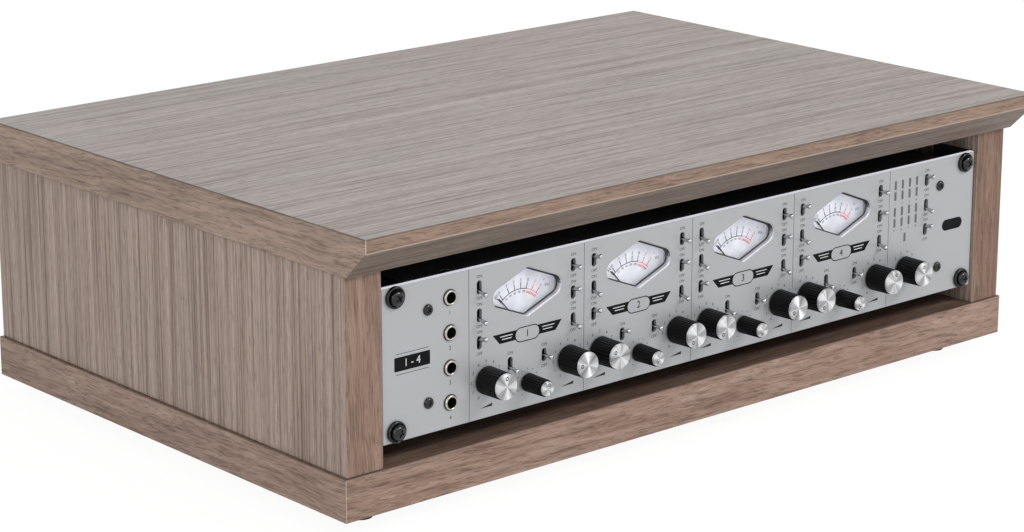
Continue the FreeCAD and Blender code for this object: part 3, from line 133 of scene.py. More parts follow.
class Finish:
    """A material and short ways to add nodes to it."""

    def __init__(self, name, colour, roughness, metallic=0.0, **sockets):
        self.material = bpy.data.materials.new(name)
        self.material.use_nodes = True
        self.tree = self.material.node_tree
        self.surface = self.tree.nodes["Principled BSDF"]
        self.set("Base Color", (*colour, 1.0))
        self.set("Roughness", roughness)
        self.set("Metallic", metallic)
        for socket, value in sockets.items():
            self.set(socket.replace("_", " "), value)

    def set(self, socket, value):
        self.surface.inputs[socket].default_value = value

    def node(self, kind, inputs=None, **settings):
        made = self.tree.nodes.new("ShaderNode" + kind)
        for key, value in settings.items():
            setattr(made, key, value)
        for socket, value in (inputs or {}).items():
            if hasattr(value, "is_output"):
                self.tree.links.new(value, made.inputs[socket])
            else:
                made.inputs[socket].default_value = value
        return made

    def link(self, output, socket):
        self.tree.links.new(output, self.surface.inputs[socket])

    def place(self, scale=(1, 1, 1)):
        """Object coordinates, stretched."""
        coordinates = self.node("TexCoord").outputs["Object"]
        return self.node("Mapping", {"Vector": coordinates, "Scale": scale}).outputs[0]

    def noise(self, vector, scale, detail=2.0, roughness=0.5):
        return self.node("TexNoise", {"Vector": vector, "Scale": scale, "Detail": detail,
                                      "Roughness": roughness}).outputs["Fac"]

    def spread(self, value, low, high, to_low=0.0, to_high=1.0):
        return self.node("MapRange", {"Value": value, "From Min": low, "From Max": high,
                                      "To Min": to_low, "To Max": to_high}).outputs[0]

    def sum(self, operation, first, second):
        return self.node("Math", {0: first, 1: second}, operation=operation).outputs[0]

    def size(self, value):
        """A value without its sign."""
        return self.sum("ABSOLUTE", value, 0.0)

    def directions(self):
        """How far a face looks along X, Y and Z."""
        return self.node("SeparateXYZ", {0: self.node("NewGeometry").outputs["True Normal"]}).outputs

    def between(self, factor, first, second):
        """A number between two, and the second where the factor is high."""
        return self.node("Mix", {0: factor, 2: first, 3: second}).outputs[0]

    def mix(self, factor, first, second):
        """A colour between two, and the second where the factor is high."""
        return self.node("Mix", {0: factor, 6: first, 7: second}, data_type="RGBA").outputs[2]

    def shaded(self, factor, first, second):
        """Paint the surface with a colour between two plain ones."""
        self.link(self.mix(factor, (*first, 1), (*second, 1)), "Base Color")

    def tinted(self, colour, factor, full, none):
        """A colour multiplied by one tint where the factor is high and by another where it is low."""
        tint = self.mix(factor, (*none, 1), (*full, 1))
        return self.node("Mix", {0: 1.0, 6: colour, 7: tint}, data_type="RGBA",
                         blend_type="MULTIPLY").outputs[2]

    def bump(self, height, strength, distance):
        made = self.node("Bump", {"Height": height, "Strength": strength, "Distance": distance})
        self.link(made.outputs[0], "Normal")


def oak(name, pale, base, dark, line_length, line_width, upright=False, seed=0.0, figure=1.0):
    """Oak foil: straight grain on the broad faces, and short slanting pores on the boards' narrow edges.
    The finest lines of the straight grain have their length and width in millimetres, and the figure of
    the narrow edges has its strength."""
    made = Finish(name, base, 0.5)
    made.facing = made.directions()
    made.where = made.node("SeparateXYZ", {0: made.node("TexCoord").outputs["Object"]}).outputs
    x, y, z = made.where
    sideways = made.sum("GREATER_THAN", made.size(made.facing[0]), 0.6)
    along = z if upright else made.between(sideways, x, y)
    across = x if upright else made.between(sideways, y, x)
    other = y if upright else z
    grain = made.node("CombineXYZ", {0: along, 1: across, 2: other}).outputs[0]
    start = (seed, seed * 0.7, seed * 0.3)
    grain = made.node("VectorMath", {0: grain, 1: start}, operation="ADD").outputs[0]

    def streaks(vector, length, width, detail=2.0, roughness=0.55):
        """Noise drawn out along the grain, with its lengths and widths in millimetres."""
        scale = (1000 / length, 1000 / width, 1000 / width)
        stretched = made.node("VectorMath", {0: vector, 1: scale}, operation="MULTIPLY").outputs[0]
        return made.noise(stretched, 1.0, detail, roughness)

    def layers(parts):
        """The sum of several noises by their weights, about a half."""
        total = None
        for part, weight in parts:
            part = made.spread(part, 0.28, 0.72, -weight, weight)
            total = part if total is None else made.sum("ADD", total, part)
        return made.sum("ADD", total, 0.5)

    lines = streaks(grain, line_length, line_width, 2.5, 0.6)
    straight = layers(((streaks(grain, 900.0, 30.0), 0.04), (streaks(grain, 500.0, 9.0, 2.0), 0.1),
                       (streaks(grain, line_length * 2, line_width * 2.2, 2.0), 0.2), (lines, 0.42)))
    sway = made.spread(streaks(grain, 70.0, 30.0), 0.0, 1.0, -0.004, 0.004)
    lean = made.sum("MULTIPLY", along, 0.04)
    drift = made.sum("ADD", sway, lean)
    bend = made.node("CombineXYZ", {0: 0.0, 1: drift, 2: drift}).outputs[0]
    bent = made.node("VectorMath", {0: grain, 1: bend}, operation="ADD").outputs[0]
    ticks = streaks(bent, 26.0, 1.3, 3.0, 0.65)
    figured = layers(((streaks(bent, 200.0, 12.0), 0.12 * figure),
                      (streaks(bent, 70.0, 3.2, 3.0), 0.24 * figure), (ticks, 0.3 * figure)))

    flat = made.size(made.facing[1 if upright else 2])
    narrow = made.sum("GREATER_THAN" if upright else "LESS_THAN", flat, 0.6)
    short = made.spread(streaks(grain, 10.0, 0.95), 0.54, 0.64, 0.0, 0.42)
    open_pores = made.sum("MAXIMUM", made.spread(lines, 0.57, 0.69, 0.0, 0.42), short)
    fine = made.spread(streaks(bent, 13.0, 0.95, 2.0, 0.6), 0.53, 0.63, 0.0, 0.5 * figure)
    edge_pores = made.sum("MAXIMUM", made.spread(ticks, 0.55, 0.68, 0.0, 0.5 * figure), fine)
    pore = made.between(narrow, open_pores, edge_pores)
    ramp = made.node("ValToRGB", {0: made.between(narrow, straight, figured)})
    first, last = ramp.color_ramp.elements
    first.position, last.position = 0.1, 0.9
    first.color, last.color = (*dark, 1), (*pale, 1)
    ramp.color_ramp.elements.new(0.5).color = (*base, 1)
    blush = made.spread(streaks(grain, 500.0, 26.0, 3.0), 0.35, 0.65)
    colour = made.tinted(ramp.outputs[0], blush, (1.012, 0.995, 0.988), (0.992, 1.002, 0.998))
    made.oak_colour = made.mix(pore, colour, (*[c * 0.55 for c in dark], 1))
    made.link(made.oak_colour, "Base Color")
    made.link(made.spread(lines, 0.3, 0.7, 0.44, 0.6), "Roughness")
    made.set("Specular IOR Level", 0.35)
    made.bump(made.sum("SUBTRACT", made.sum("MULTIPLY", lines, 0.5), pore), 0.2, 0.0001)
    return made


def tint_by_face(made, top, low, front, ends):
    """Tint the upper, lower, front and end faces, which are cut from different sheets of foil, and paint
    shade on some of them: a darker underside, a darker upper face where it lies in shade, and a darker front
    where less light reaches. The back is like the front."""
    up = made.spread(made.facing[2], 0.5, 0.7)
    down = made.spread(made.facing[2], -0.4, -0.58)
    ahead = made.spread(made.size(made.facing[1]), 0.85, 0.95)
    sideways = made.spread(made.size(made.facing[0]), 0.7, 0.9)
    for factor, tint in ((up, top), (down, low), (ahead, front), (sideways, ends)):
        made.oak_colour = made.tinted(made.oak_colour, factor, tint, UNTINTED)
    made.link(made.oak_colour, "Base Color")


def edge_lines(made, lines):
    """Pale lines of painted highlight and dark foil seams on the upright faces: each has its height, width,
    colour and strength, and the direction along Y that a face must look in, or 0 for any."""
    upright = made.spread(made.size(made.facing[2]), 0.95, 0.8)
    for height, width, tone, strength, ahead in lines:
        away = made.size(made.sum("SUBTRACT", made.where[2], height * MM))
        near = made.spread(away, width * MM * 0.6, width * MM * 0.4, 0.0, strength)
        near = made.sum("MULTIPLY", near, upright)
        if ahead:
            looks = made.sum("GREATER_THAN", made.sum("MULTIPLY", made.facing[1], ahead), 0.5)
            near = made.sum("MULTIPLY", near, looks)
        made.oak_colour = made.mix(near, made.oak_colour, (*tone, 1))
    made.link(made.oak_colour, "Base Color")


def coated(name, colour, roughness, grain=900.0, depth=0.00004, **sockets):
    """A moulded, painted or coated surface with a fine orange peel and uneven gloss."""
    made = Finish(name, colour, roughness, **sockets)
    peel = made.noise(made.place(), grain, 2.0)
    cloud = made.noise(made.place(), grain / 20, 3.0)
    made.link(made.spread(cloud, 0.3, 0.7, roughness * 0.85, roughness * 1.15), "Roughness")
    made.shaded(made.spread(cloud, 0.35, 0.75), [c * 0.86 for c in colour],
                [min(1.0, c * 1.14) for c in colour])
    made.bump(peel, 0.3, depth)
    return made


def brushed(name, colour, roughness, scale=(30.0, 2500.0, 2500.0), contrast=0.05, metallic=1.0):
    """Metal brushed along X, so its fine lines run across the faceplate."""
    made = Finish(name, colour, roughness, metallic)
    lines = made.noise(made.place(scale), 1.0, 3.0, 0.6)
    made.shaded(made.spread(lines, 0.3, 0.7), [c * (1 - contrast) for c in colour],
                [c * (1 + contrast) for c in colour])
    made.link(made.spread(lines, 0.3, 0.7, roughness - 0.05, roughness + 0.05), "Roughness")
    made.bump(lines, 0.15, 0.00002)
    return made


def worn_corners(made, half_width, width, tone, strength):
    """A pale line down each end of the board's front face: a painted highlight on the rounded corner."""
    away = made.size(made.sum("SUBTRACT", made.size(made.where[0]), half_width * MM))
    near = made.spread(away, width * MM * 1.1, width * MM * 0.8, 0.0, strength)
    near = made.sum("MULTIPLY", near, made.spread(made.facing[1], -0.85, -0.95))
    made.oak_colour = made.mix(near, made.oak_colour, (*tone, 1))
    made.link(made.oak_colour, "Base Color")


def bright_edges(made, colour):
    """Paint the faces that don't look forward near white, for the milled bare metal and as a painted
    highlight, and give the upper one a painted glow.
    """
    facing = made.directions()
    side = made.spread(made.size(facing[1]), 0.6, 0.4)
    base = made.surface.inputs["Base Color"].links[0].from_socket
    made.link(made.mix(side, base, (*colour, 1)), "Base Color")
    # Painted glow: the upper faces give off light of their own.
    made.set("Emission Color", (0.86, 0.87, 1.0, 1.0))
    made.link(made.spread(facing[2], 0.4, 0.6, 0.0, 0.45), "Emission Strength")


def shaded_chamfer(made, low, high):
    """Darken the faces that look down and lighten those that look up, as a polished chamfer shows: painted
    shade below and painted highlight above.
    """
    made.shaded(made.spread(made.directions()[2], -0.25, 0.2), low, high)


def spun(name, dull, bright, roughness):
    """Metal turned on a lathe: rings round the piece's own middle, and a sheen that fans out from it. Some
    sectors are painted duller and others brighter: a painted sheen that stands in for fans of reflected
    light."""
    made = Finish(name, dull, roughness, 1.0, Anisotropic=1.0, Anisotropic_Rotation=0.25)
    spoke = made.node("Attribute", attribute_name="spoke").outputs["Vector"]
    spoke = made.node("VectorMath", {0: spoke}, operation="NORMALIZE").outputs[0]
    sideways = made.node("SeparateXYZ", {0: spoke}).outputs[0]
    # Painted sheen: lighter and darker sectors, in place of the fans of reflected light.
    painted_sheen = made.sum("MULTIPLY", made.sum("MULTIPLY", sideways, sideways), 0.32)
    painted_sheen = made.sum("ADD", painted_sheen, made.noise(spoke, 1.4, 3.0, 0.6))
    made.shaded(made.spread(painted_sheen, 0.42, 0.86), dull, bright)
    made.link(made.node("Tangent", direction_type="RADIAL", axis="Y").outputs[0], "Tangent")
    scratches = made.noise(made.place(), 3000.0, 2.0)
    made.link(made.spread(scratches, 0.3, 0.7, roughness - 0.06, roughness + 0.06), "Roughness")
    return made


BOARD_HALF_WIDTH = 270.0
FOIL_SEAM = paint(84, 70, 62)
SIDE_PAINTS = (paint(190, 172, 160), paint(162, 143, 132), paint(112, 92, 80))

TOP_OAK = oak("oak_top", paint(187, 178, 172), paint(163, 154, 149), paint(116, 104, 98), 80.0, 1.35,
              figure=0.95)
# Painted shade: the top board's underside is tinted dark.
tint_by_face(TOP_OAK, (0.95, 0.955, 0.965), (0.565, 0.485, 0.415), (0.79, 0.615, 0.5), (0.95, 0.775, 0.655))
# The pale line along the nose's lower edge is a painted highlight; the other line is a dark foil seam.
edge_lines(TOP_OAK, ((165.8, 1.0, paint(184, 163, 149), 0.8, -1), (173.6, 0.9, FOIL_SEAM, 0.7, 0)))
# Painted highlights down the top board's front corners.
worn_corners(TOP_OAK, BOARD_HALF_WIDTH, 0.8, paint(214, 194, 178), 0.8)
BASE_OAK = oak("oak_base", paint(188, 166, 152), paint(158, 134, 121), paint(112, 90, 78), 60.0, 2.2,
               seed=3.1)
# Painted shade: the base's upper face, which lies under the faceplate, is tinted dark.
tint_by_face(BASE_OAK, (0.5, 0.45, 0.42), UNTINTED, (0.98, 0.935, 0.89), (0.96, 0.935, 0.91))
edge_lines(BASE_OAK, ((35.7, 0.7, FOIL_SEAM, 0.35, 0),))
# Painted highlights down the base's front corners.
worn_corners(BASE_OAK, BOARD_HALF_WIDTH, 0.8, paint(206, 186, 170), 0.75)
SIDE_OAK = oak("oak_side", *SIDE_PAINTS, 170.0, 1.5, True, 7.7, 0.8)
tint_by_face(SIDE_OAK, UNTINTED, UNTINTED, (0.82, 0.71, 0.645), UNTINTED)
# A copy of the side's oak whose front is tinted darker as painted shade.
SHADED_RIGHT_OAK = oak("oak_right_shaded", *SIDE_PAINTS, 170.0, 1.5, True, 2.9, 0.8)
tint_by_face(SHADED_RIGHT_OAK, UNTINTED, UNTINTED, (0.66, 0.525, 0.455), UNTINTED)
BEECH = oak("beech_dowel", paint(219, 193, 155), paint(205, 176, 136), paint(184, 152, 112), 90.0, 1.2,
            True, 5.2)

POWDER_BLACK = coated("black_powder_coat", paint(18, 18, 19), 0.55)
GLOSS_BLACK = coated("black_lacquer", paint(4, 4, 5), 0.15, grain=300.0, depth=0.00001,
                     Specular_IOR_Level=0.5)
MOULDED_BLACK = coated("black_moulding", paint(16, 16, 17), 0.5, Specular_IOR_Level=0.3)
MOULDED_GREY = coated("grey_moulding", paint(190, 191, 196), 0.5)
# Painted shade: a dark strip in the gap behind each meter's window.
GAP_SHADE = coated("gap_shade_strip", paint(66, 66, 70), 0.6)
SLOT_BLACK = coated("switch_black", paint(7, 7, 8), 0.7, Specular_IOR_Level=0.15)
SLOT_WALL = coated("slot_wall", paint(150, 150, 154), 0.5)
KNOB_BLACK = coated("black_knob", paint(5, 5, 6), 0.34, grain=1500.0, Specular_IOR_Level=0.17)
RUBBER = coated("black_rubber", paint(24, 24, 24), 0.8)
ZINC = brushed("zinc_plate", paint(168, 166, 158), 0.35, (900.0, 900.0, 900.0), 0.12)
NICKEL = brushed("polished_nickel", paint(188, 182, 170), 0.2, (1200.0, 1200.0, 1200.0), 0.04)
CHROME = brushed("polished_chrome", paint(184, 184, 188), 0.11, (1500.0, 1500.0, 1500.0), 0.03)
PLATE_EDGE = brushed("milled_plate_edge", paint(226, 226, 232), 0.3, contrast=0.02, metallic=0.35)
# Painted shade and painted highlight on the window's chamfer, by the way its faces look.
shaded_chamfer(PLATE_EDGE, paint(84, 84, 88), paint(224, 224, 230))
PLATE_METAL = brushed("anodised_plate", paint(178, 179, 182), 0.42, contrast=0.02, metallic=0.25)
# The plate's edges are near white, partly painted highlight, and its upper faces glow as painted light.
bright_edges(PLATE_METAL, paint(248, 248, 252))
# The cap's sectors are a painted sheen between its dull and bright colours.
SPUN_CAP = spun("spun_cap", paint(158, 158, 161), paint(240, 240, 242), 0.48)
CARD = coated("dial_card", paint(192, 193, 200), 0.6, grain=2500.0)
# Painted glow: the dial card gives off light of its own, which evens out the shade inside the window.
CARD.set("Emission Color", (0.86, 0.88, 1.0, 1.0))
CARD.set("Emission Strength", 0.28)
PRINT_BLACK = coated("black_print", paint(9, 9, 10), 0.6, grain=2500.0, Specular_IOR_Level=0.12)
PRINT_GREY = coated("grey_print", paint(44, 44, 48), 0.6, grain=2500.0, Specular_IOR_Level=0.2)
PRINT_RED = coated("red_print", paint(222, 84, 92), 0.6, grain=2500.0, Specular_IOR_Level=0.2)
PRINT_PALE = coated("pale_print", paint(214, 215, 218), 0.5, grain=2500.0)
SMOKED = coated("smoked_light_pipe", paint(96, 97, 99), 0.3, grain=500.0)
SOLDER_MASK = coated("green_solder_mask", paint(24, 92, 58), 0.35)
TAPE = coated("amber_tape", paint(176, 138, 64), 0.3, grain=400.0)
WINDOW = Finish("clear_window", (1.0, 1.0, 1.0), 0.03, 0.0, Transmission_Weight=1.0, IOR=1.05)
GLASS = Finish("tube_glass", (0.95, 0.98, 0.98), 0.02, 0.0, Transmission_Weight=1.0, IOR=1.45)

NODE_FINISHES = {
    "top_panel": TOP_OAK, "base_panel": BASE_OAK, "left_side_panel": SIDE_OAK, "right_side_panel": SHADED_RIGHT_OAK,
    "panel_dowels": BEECH, "panel_screws": ZINC, "left_rack_rail": POWDER_BLACK,
    "right_rack_rail": POWDER_BLACK, "wood_screws": ZINC, "rubber_feet": RUBBER, "rack_screws": GLOSS_BLACK,
    "cup_washers": GLOSS_BLACK, "front_plate": PLATE_METAL, "chassis_tray": POWDER_BLACK,
    "rear_panel": POWDER_BLACK, "chassis_cover": POWDER_BLACK, "chassis_screws": GLOSS_BLACK,
    "meter_housings": MOULDED_GREY, "meter_dials": CARD, "meter_lenses": WINDOW,
    "jack_sockets": MOULDED_BLACK, "jack_rings": NICKEL, "toggle_switches": SLOT_BLACK,
    "potentiometers": ZINC, "circuit_boards": SOLDER_MASK, "power_transformer": TAPE, "vacuum_tubes": GLASS,
    "rear_sockets": MOULDED_BLACK, "power_inlet": MOULDED_BLACK, "led_light_pipes": SMOKED,
}


def finish_nodes():
    """Give each node that shows its finish."""
    for name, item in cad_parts.items():
        if name in NODE_FINISHES:
            made = NODE_FINISHES[name]
        elif "lever" in name:
            made = CHROME
        elif "needle" in name:
            made = PRINT_BLACK
        else:
            made = KNOB_BLACK
        item.data.materials.clear()
        item.data.materials.append(made.material)


# Making pieces

CAPITAL_SHARE = 0.7


def finished(name, shape, finish, body, smooth=True):
    """Turn a shape in millimetres into a piece in metres that rides on a body."""
    bmesh.ops.scale(shape, vec=(MM,) * 3, verts=shape.verts)
    mesh = bpy.data.meshes.new(name)
    shape.to_mesh(mesh)
    shape.free()
    mesh.materials.append(finish.material)
    item = bpy.data.objects.new(name, mesh)
    bpy.context.collection.objects.link(item)
    if smooth:
        mesh.shade_smooth()
        mesh.set_sharp_from_angle(angle=math.radians(SMOOTH_ANGLE))
    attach(item, body)
    return item


def printed(name, shape, finish):
    """Finish a flat print on the unit, which keeps its sharp edges."""
    return finished(name, shape, finish, "stand", False)


def on_plate(across, up, proud=0.0):
    """A point on the faceplate, from its lower left corner and out from its face."""
    return Vector((PLATE_LEFT + across, PLATE_FRONT - proud, PLATE_BOTTOM + up))


def stand_out(shape, across, up, proud=0.0, turn=0.0, verts=None):
    """Turn a shape that was made facing up to face forward, and set it on the faceplate."""
    verts = verts or shape.verts
    face = Matrix.Rotation(math.radians(turn), 4, "Y") @ Matrix.Rotation(math.radians(90), 4, "X")
    bmesh.ops.transform(shape, matrix=Matrix.Translation(on_plate(across, up, proud)) @ face, verts=verts)


def turn_profile(shape, profile, steps=CORNERS):
    """Spin a profile of radii and heights about the upright axis, and close it."""
    verts = [shape.verts.new((radius, 0.0, height)) for radius, height in profile]
    edges = [shape.edges.new(pair) for pair in zip(verts, verts[1:])]
    bmesh.ops.spin(shape, geom=verts + edges, cent=(0, 0, 0), axis=(0, 0, 1), angle=math.tau, steps=steps,
                   use_merge=True)
    bmesh.ops.remove_doubles(shape, verts=shape.verts, dist=WELD)
    bmesh.ops.recalc_face_normals(shape, faces=shape.faces)


def turned_mesh(profile, steps=CORNERS):
    """A mesh of one turned profile, to be copied to its places."""
    shape = bmesh.new()
    turn_profile(shape, profile, steps)
    mesh = bpy.data.meshes.new("turned")
    shape.to_mesh(mesh)
    shape.free()
    return mesh


def added(shape, before):
    """The corners that a shape has gained."""
    return [vert for vert in shape.verts if vert not in before]


def bridge_rings(shape, outlines):
    """Join closed outlines by walls, each to the next. No two may share a plane: their wall could twist."""
    rings = []
    for points in outlines:
        ring = [shape.verts.new(point) for point in points]
        rings.append([shape.edges.new((ring[step - 1], ring[step])) for step in range(len(ring))])
    for first, second in zip(rings, rings[1:]):
        bmesh.ops.bridge_loops(shape, edges=first + second)


def slab(shape, points, thickness):
    """A flat outline made into a thin slab."""
    verts = [shape.verts.new((x, y, 0.0)) for x, y in points]
    face = shape.faces.new(verts)
    grown = bmesh.ops.extrude_face_region(shape, geom=[face])
    raised = [item for item in grown["geom"] if isinstance(item, bmesh.types.BMVert)]
    bmesh.ops.translate(shape, vec=(0, 0, thickness), verts=raised)
    bmesh.ops.recalc_face_normals(shape, faces=shape.faces)
    return verts + raised


def arc_points(radius, start, stop, count, centre=(0.0, 0.0)):
    """Points on an arc, from one angle to another, in degrees counted from the right."""
    return [(centre[0] + radius * math.cos(math.radians(start + (stop - start) * step / (count - 1))),
             centre[1] + radius * math.sin(math.radians(start + (stop - start) * step / (count - 1))))
            for step in range(count)]


def round_about(across, up, reach, degrees):
    """A place at some reach from a middle, turned from straight up."""
    angle = math.radians(degrees)
    return across + reach * math.sin(angle), up + reach * math.cos(angle)


def band(inner, outer, start, stop, count=33):
    """The outline of a strip between two arcs."""
    return arc_points(outer, start, stop, count) + arc_points(inner, stop, start, count)


def obround(half_width, half_height, count=17):
    """An outline with round ends."""
    reach = half_width - half_height
    return (arc_points(half_height, -90, 90, count, (reach, 0.0))
            + arc_points(half_height, 90, 270, count, (-reach, 0.0)))


def rounded(half_width, half_height, radius, count=6):
    """A rectangle with round corners."""
    points = []
    for x, y, start in ((1, -1, -90), (1, 1, 0), (-1, 1, 90), (-1, -1, 180)):
        centre = (x * (half_width - radius), y * (half_height - radius))
        points += arc_points(radius, start, start + 90, count, centre)
    return points


def flat_shape(outlines):
    """One thin shape of several outlines, each moved to its own place on the faceplate."""
    shape = bmesh.new()
    for points, across, up, proud in outlines:
        verts = slab(shape, points, PRINT_RISE)
        stand_out(shape, across, up, proud, verts=verts)
    return shape


def lettering(words):
    """Numbers and switch words as one thin shape: each has its text, place, height of capitals and turn."""
    shape = bmesh.new()
    for text, across, up, proud, height, turn in words:
        curve = bpy.data.curves.new("word", "FONT")
        curve.body = text
        curve.align_x = "CENTER"
        curve.align_y = "CENTER"
        curve.size = height / CAPITAL_SHARE
        curve.extrude = PRINT_RISE / 2
        curve.resolution_u = 3
        item = bpy.data.objects.new("word", curve)
        mesh = bpy.data.meshes.new_from_object(item)
        before = set(shape.verts)
        shape.from_mesh(mesh)
        new = added(shape, before)
        bmesh.ops.translate(shape, vec=(0, 0, PRINT_RISE / 2), verts=new)
        stand_out(shape, across, up, proud, turn, new)
        bpy.data.objects.remove(item)
        bpy.data.curves.remove(curve)
        bpy.data.meshes.remove(mesh)
    bmesh.ops.remove_doubles(shape, verts=shape.verts, dist=WELD)
    return shape


# Knobs

STANDOFF = 1.0
GRIP_LENGTH = 15.4
FLUTE_DEPTH = 0.36
FLUTE_SHAPE = (1.0, 0.55, 0.0, 0.55)
CAP_HEIGHT = 1.6
CAP_FOOT = 16.4
MARK_FOOT = 17.94
MARK_RISE = 0.05
MARK_INNER_SHARE = 0.55


def fluted_grip(base, front, flutes):
    """A tapered grip with a smooth skirt at its foot, flutes along its side and a rounded front edge."""
    def around(vert):
        return math.atan2(vert.co.y, vert.co.x)

    shape = bmesh.new()
    count = flutes * 4
    top = STANDOFF + GRIP_LENGTH
    heights = ((STANDOFF, 1.0, 0.0), (STANDOFF + 0.9, 1.0, 0.0), (STANDOFF + 1.5, 1.0, 1.0),
               (top - 1.0, 1.0, 1.0), (top - 0.35, 0.985, 0.6), (top, 0.955, 0.0))
    bmesh.ops.create_circle(shape, segments=count, radius=1.0, cap_ends=False)
    rings = [sorted(shape.verts, key=around)]
    edges = list(shape.edges)
    for _ in heights[1:]:
        grown = bmesh.ops.extrude_edge_only(shape, edges=edges)
        edges = [item for item in grown["geom"] if isinstance(item, bmesh.types.BMEdge)]
        edges = [edge for edge in edges if all(vert not in rings[-1] for vert in edge.verts)]
        rings.append(sorted({vert for edge in edges for vert in edge.verts}, key=around))
    for (height, share, fluting), ring in zip(heights, rings):
        along = (height - STANDOFF) / GRIP_LENGTH
        radius = (base + (front - base) * along) * share
        for index, vert in enumerate(ring):
            angle = math.tau * index / count
            reach = radius - FLUTE_DEPTH * fluting * FLUTE_SHAPE[index % 4]
            vert.co = Vector((math.cos(angle) * reach, math.sin(angle) * reach, height))
    bmesh.ops.contextual_create(shape, geom=rings[0])
    bmesh.ops.contextual_create(shape, geom=rings[-1])
    bmesh.ops.recalc_face_normals(shape, faces=shape.faces)
    return shape


def spun_cap(radius, height, low):
    """A metal cap with a bright bevelled rim and a face that is a little dished."""
    shape = bmesh.new()
    top = low + height
    turn_profile(shape, ((0.0, low), (radius, low), (radius, top - 0.55), (radius - 0.15, top - 0.2),
                         (radius - 0.55, top), (radius * 0.6, top - 0.03), (0.0, top - 0.06)))
    # Each corner's spoke, at twice its angle, steers the cap's painted sheen.
    spokes = shape.verts.layers.float_vector.new("spoke")
    for vert in shape.verts:
        turn = 2 * math.atan2(vert.co.y, vert.co.x)
        away = math.hypot(vert.co.x, vert.co.y) / radius
        vert[spokes] = (away * math.cos(turn), away * math.sin(turn), 0.0)
    return shape


def knob(name, across, up, angle, sizes):
    """A knob of three pieces on its own body: the grip, the cap and the ring mark on it."""
    base, front, cap, reach, flutes, mark = sizes
    grip = fluted_grip(base, front, flutes)
    stand_out(grip, across, up, 0.0, angle)
    item = finished(name + "_grip", grip, KNOB_BLACK, name)
    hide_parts(name)
    face = spun_cap(cap, CAP_HEIGHT, CAP_FOOT)
    stand_out(face, across, up, 0.0, angle)
    finished(name + "_cap", face, SPUN_CAP, name)
    ring = bmesh.new()
    inner = mark * MARK_INNER_SHARE
    turn_profile(ring, ((inner, 0.0), (mark, 0.0), (mark, MARK_RISE), (inner, MARK_RISE), (inner, 0.0)), 32)
    bmesh.ops.translate(ring, vec=(0, reach, MARK_FOOT), verts=ring.verts)
    stand_out(ring, across, up, 0.0, angle)
    finished(name + "_mark", ring, PRINT_BLACK, name)


# Radius of the foot, of the front and of the cap, reach of the mark, flutes, and radius of the mark
BIG_KNOB = (8.25, 7.9, 7.5, 4.8, 30, 1.15)
SMALL_KNOB = (5.4, 5.0, 4.2, 2.4, 22, 0.95)


def knobs():
    """All the knobs, each turned as it rests."""
    for index, middle in enumerate(CHANNEL_MIDDLES):
        knob(f"gain_knob_{index + 1}", middle - KNOB_REACH, KNOB_ROW, GAIN_ANGLES[index], BIG_KNOB)
        knob(f"level_knob_{index + 1}", middle + KNOB_REACH, KNOB_ROW, LEVEL_ANGLES[index], BIG_KNOB)
        knob(f"blend_knob_{index + 1}", middle, BLEND_ROW, BLEND_ANGLES[index], SMALL_KNOB)
    knob("clock_knob", CLOCK_COLUMN, KNOB_ROW, CLOCK_ANGLE, BIG_KNOB)


# Screws, washers, jack rings and window trims

CUTTER_HALF = 2.0


def cross_head(profile, reach, width, floor):
    """A turned head with a cross recess cut down to its floor."""
    solid = turned_mesh(profile, 40)
    cutter = bmesh.new()
    for angle in (0, 90):
        arm = bmesh.ops.create_cube(cutter, size=1.0)["verts"]
        bmesh.ops.scale(cutter, vec=(2 * reach, width, 2 * CUTTER_HALF), verts=arm)
        bmesh.ops.rotate(cutter, matrix=Matrix.Rotation(math.radians(angle), 3, "Z"), verts=arm)
        bmesh.ops.translate(cutter, vec=(0, 0, floor + CUTTER_HALF), verts=arm)
    tool = bpy.data.meshes.new("cross")
    cutter.to_mesh(tool)
    cutter.free()
    item, cross = bpy.data.objects.new("head", solid), bpy.data.objects.new("cross", tool)
    for thing in (item, cross):
        bpy.context.collection.objects.link(thing)
    carve = item.modifiers.new("recess", "BOOLEAN")
    carve.object = cross
    carve.operation = "DIFFERENCE"
    carve.solver = "EXACT"
    carve.use_self = True
    bpy.context.view_layer.update()
    carved = bpy.data.meshes.new_from_object(item.evaluated_get(bpy.context.evaluated_depsgraph_get()))
    for thing in (item, cross):
        bpy.data.objects.remove(thing)
    return carved


def several(mesh, places):
    """One shape of many copies of a mesh, each carried to its own place."""
    shape = bmesh.new()
    for place in places:
        before = set(shape.verts)
        shape.from_mesh(mesh)
        bmesh.ops.transform(shape, matrix=place, verts=added(shape, before))
    return shape


def facing_front(across, up, turn=0.0, proud=0.0):
    """The place of something made facing up that is to face forward on the faceplate."""
    return (Matrix.Translation(on_plate(across, up, proud)) @ Matrix.Rotation(math.radians(turn), 4, "Y")
            @ Matrix.Rotation(math.radians(90), 4, "X"))


def loose_solids(name):
    """The lowest and highest corner of each separate solid of a CAD node, in millimetres. They are sorted, so
    that each run gives them in the same order."""
    shape = bmesh.new()
    shape.from_mesh(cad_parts[name].data)
    bmesh.ops.remove_doubles(shape, verts=shape.verts, dist=0.000001)
    waiting, boxes = set(shape.verts), []
    while waiting:
        reached, edge = [waiting.pop()], 0
        while edge < len(reached):
            for link in reached[edge].link_edges:
                other = link.other_vert(reached[edge])
                if other in waiting:
                    waiting.discard(other)
                    reached.append(other)
            edge += 1
        boxes.append(tuple(Vector([pick(vert.co[axis] for vert in reached) / MM for axis in range(3)])
                           for pick in (min, max)))
    shape.free()
    return sorted(boxes, key=lambda box: tuple(box[0]))


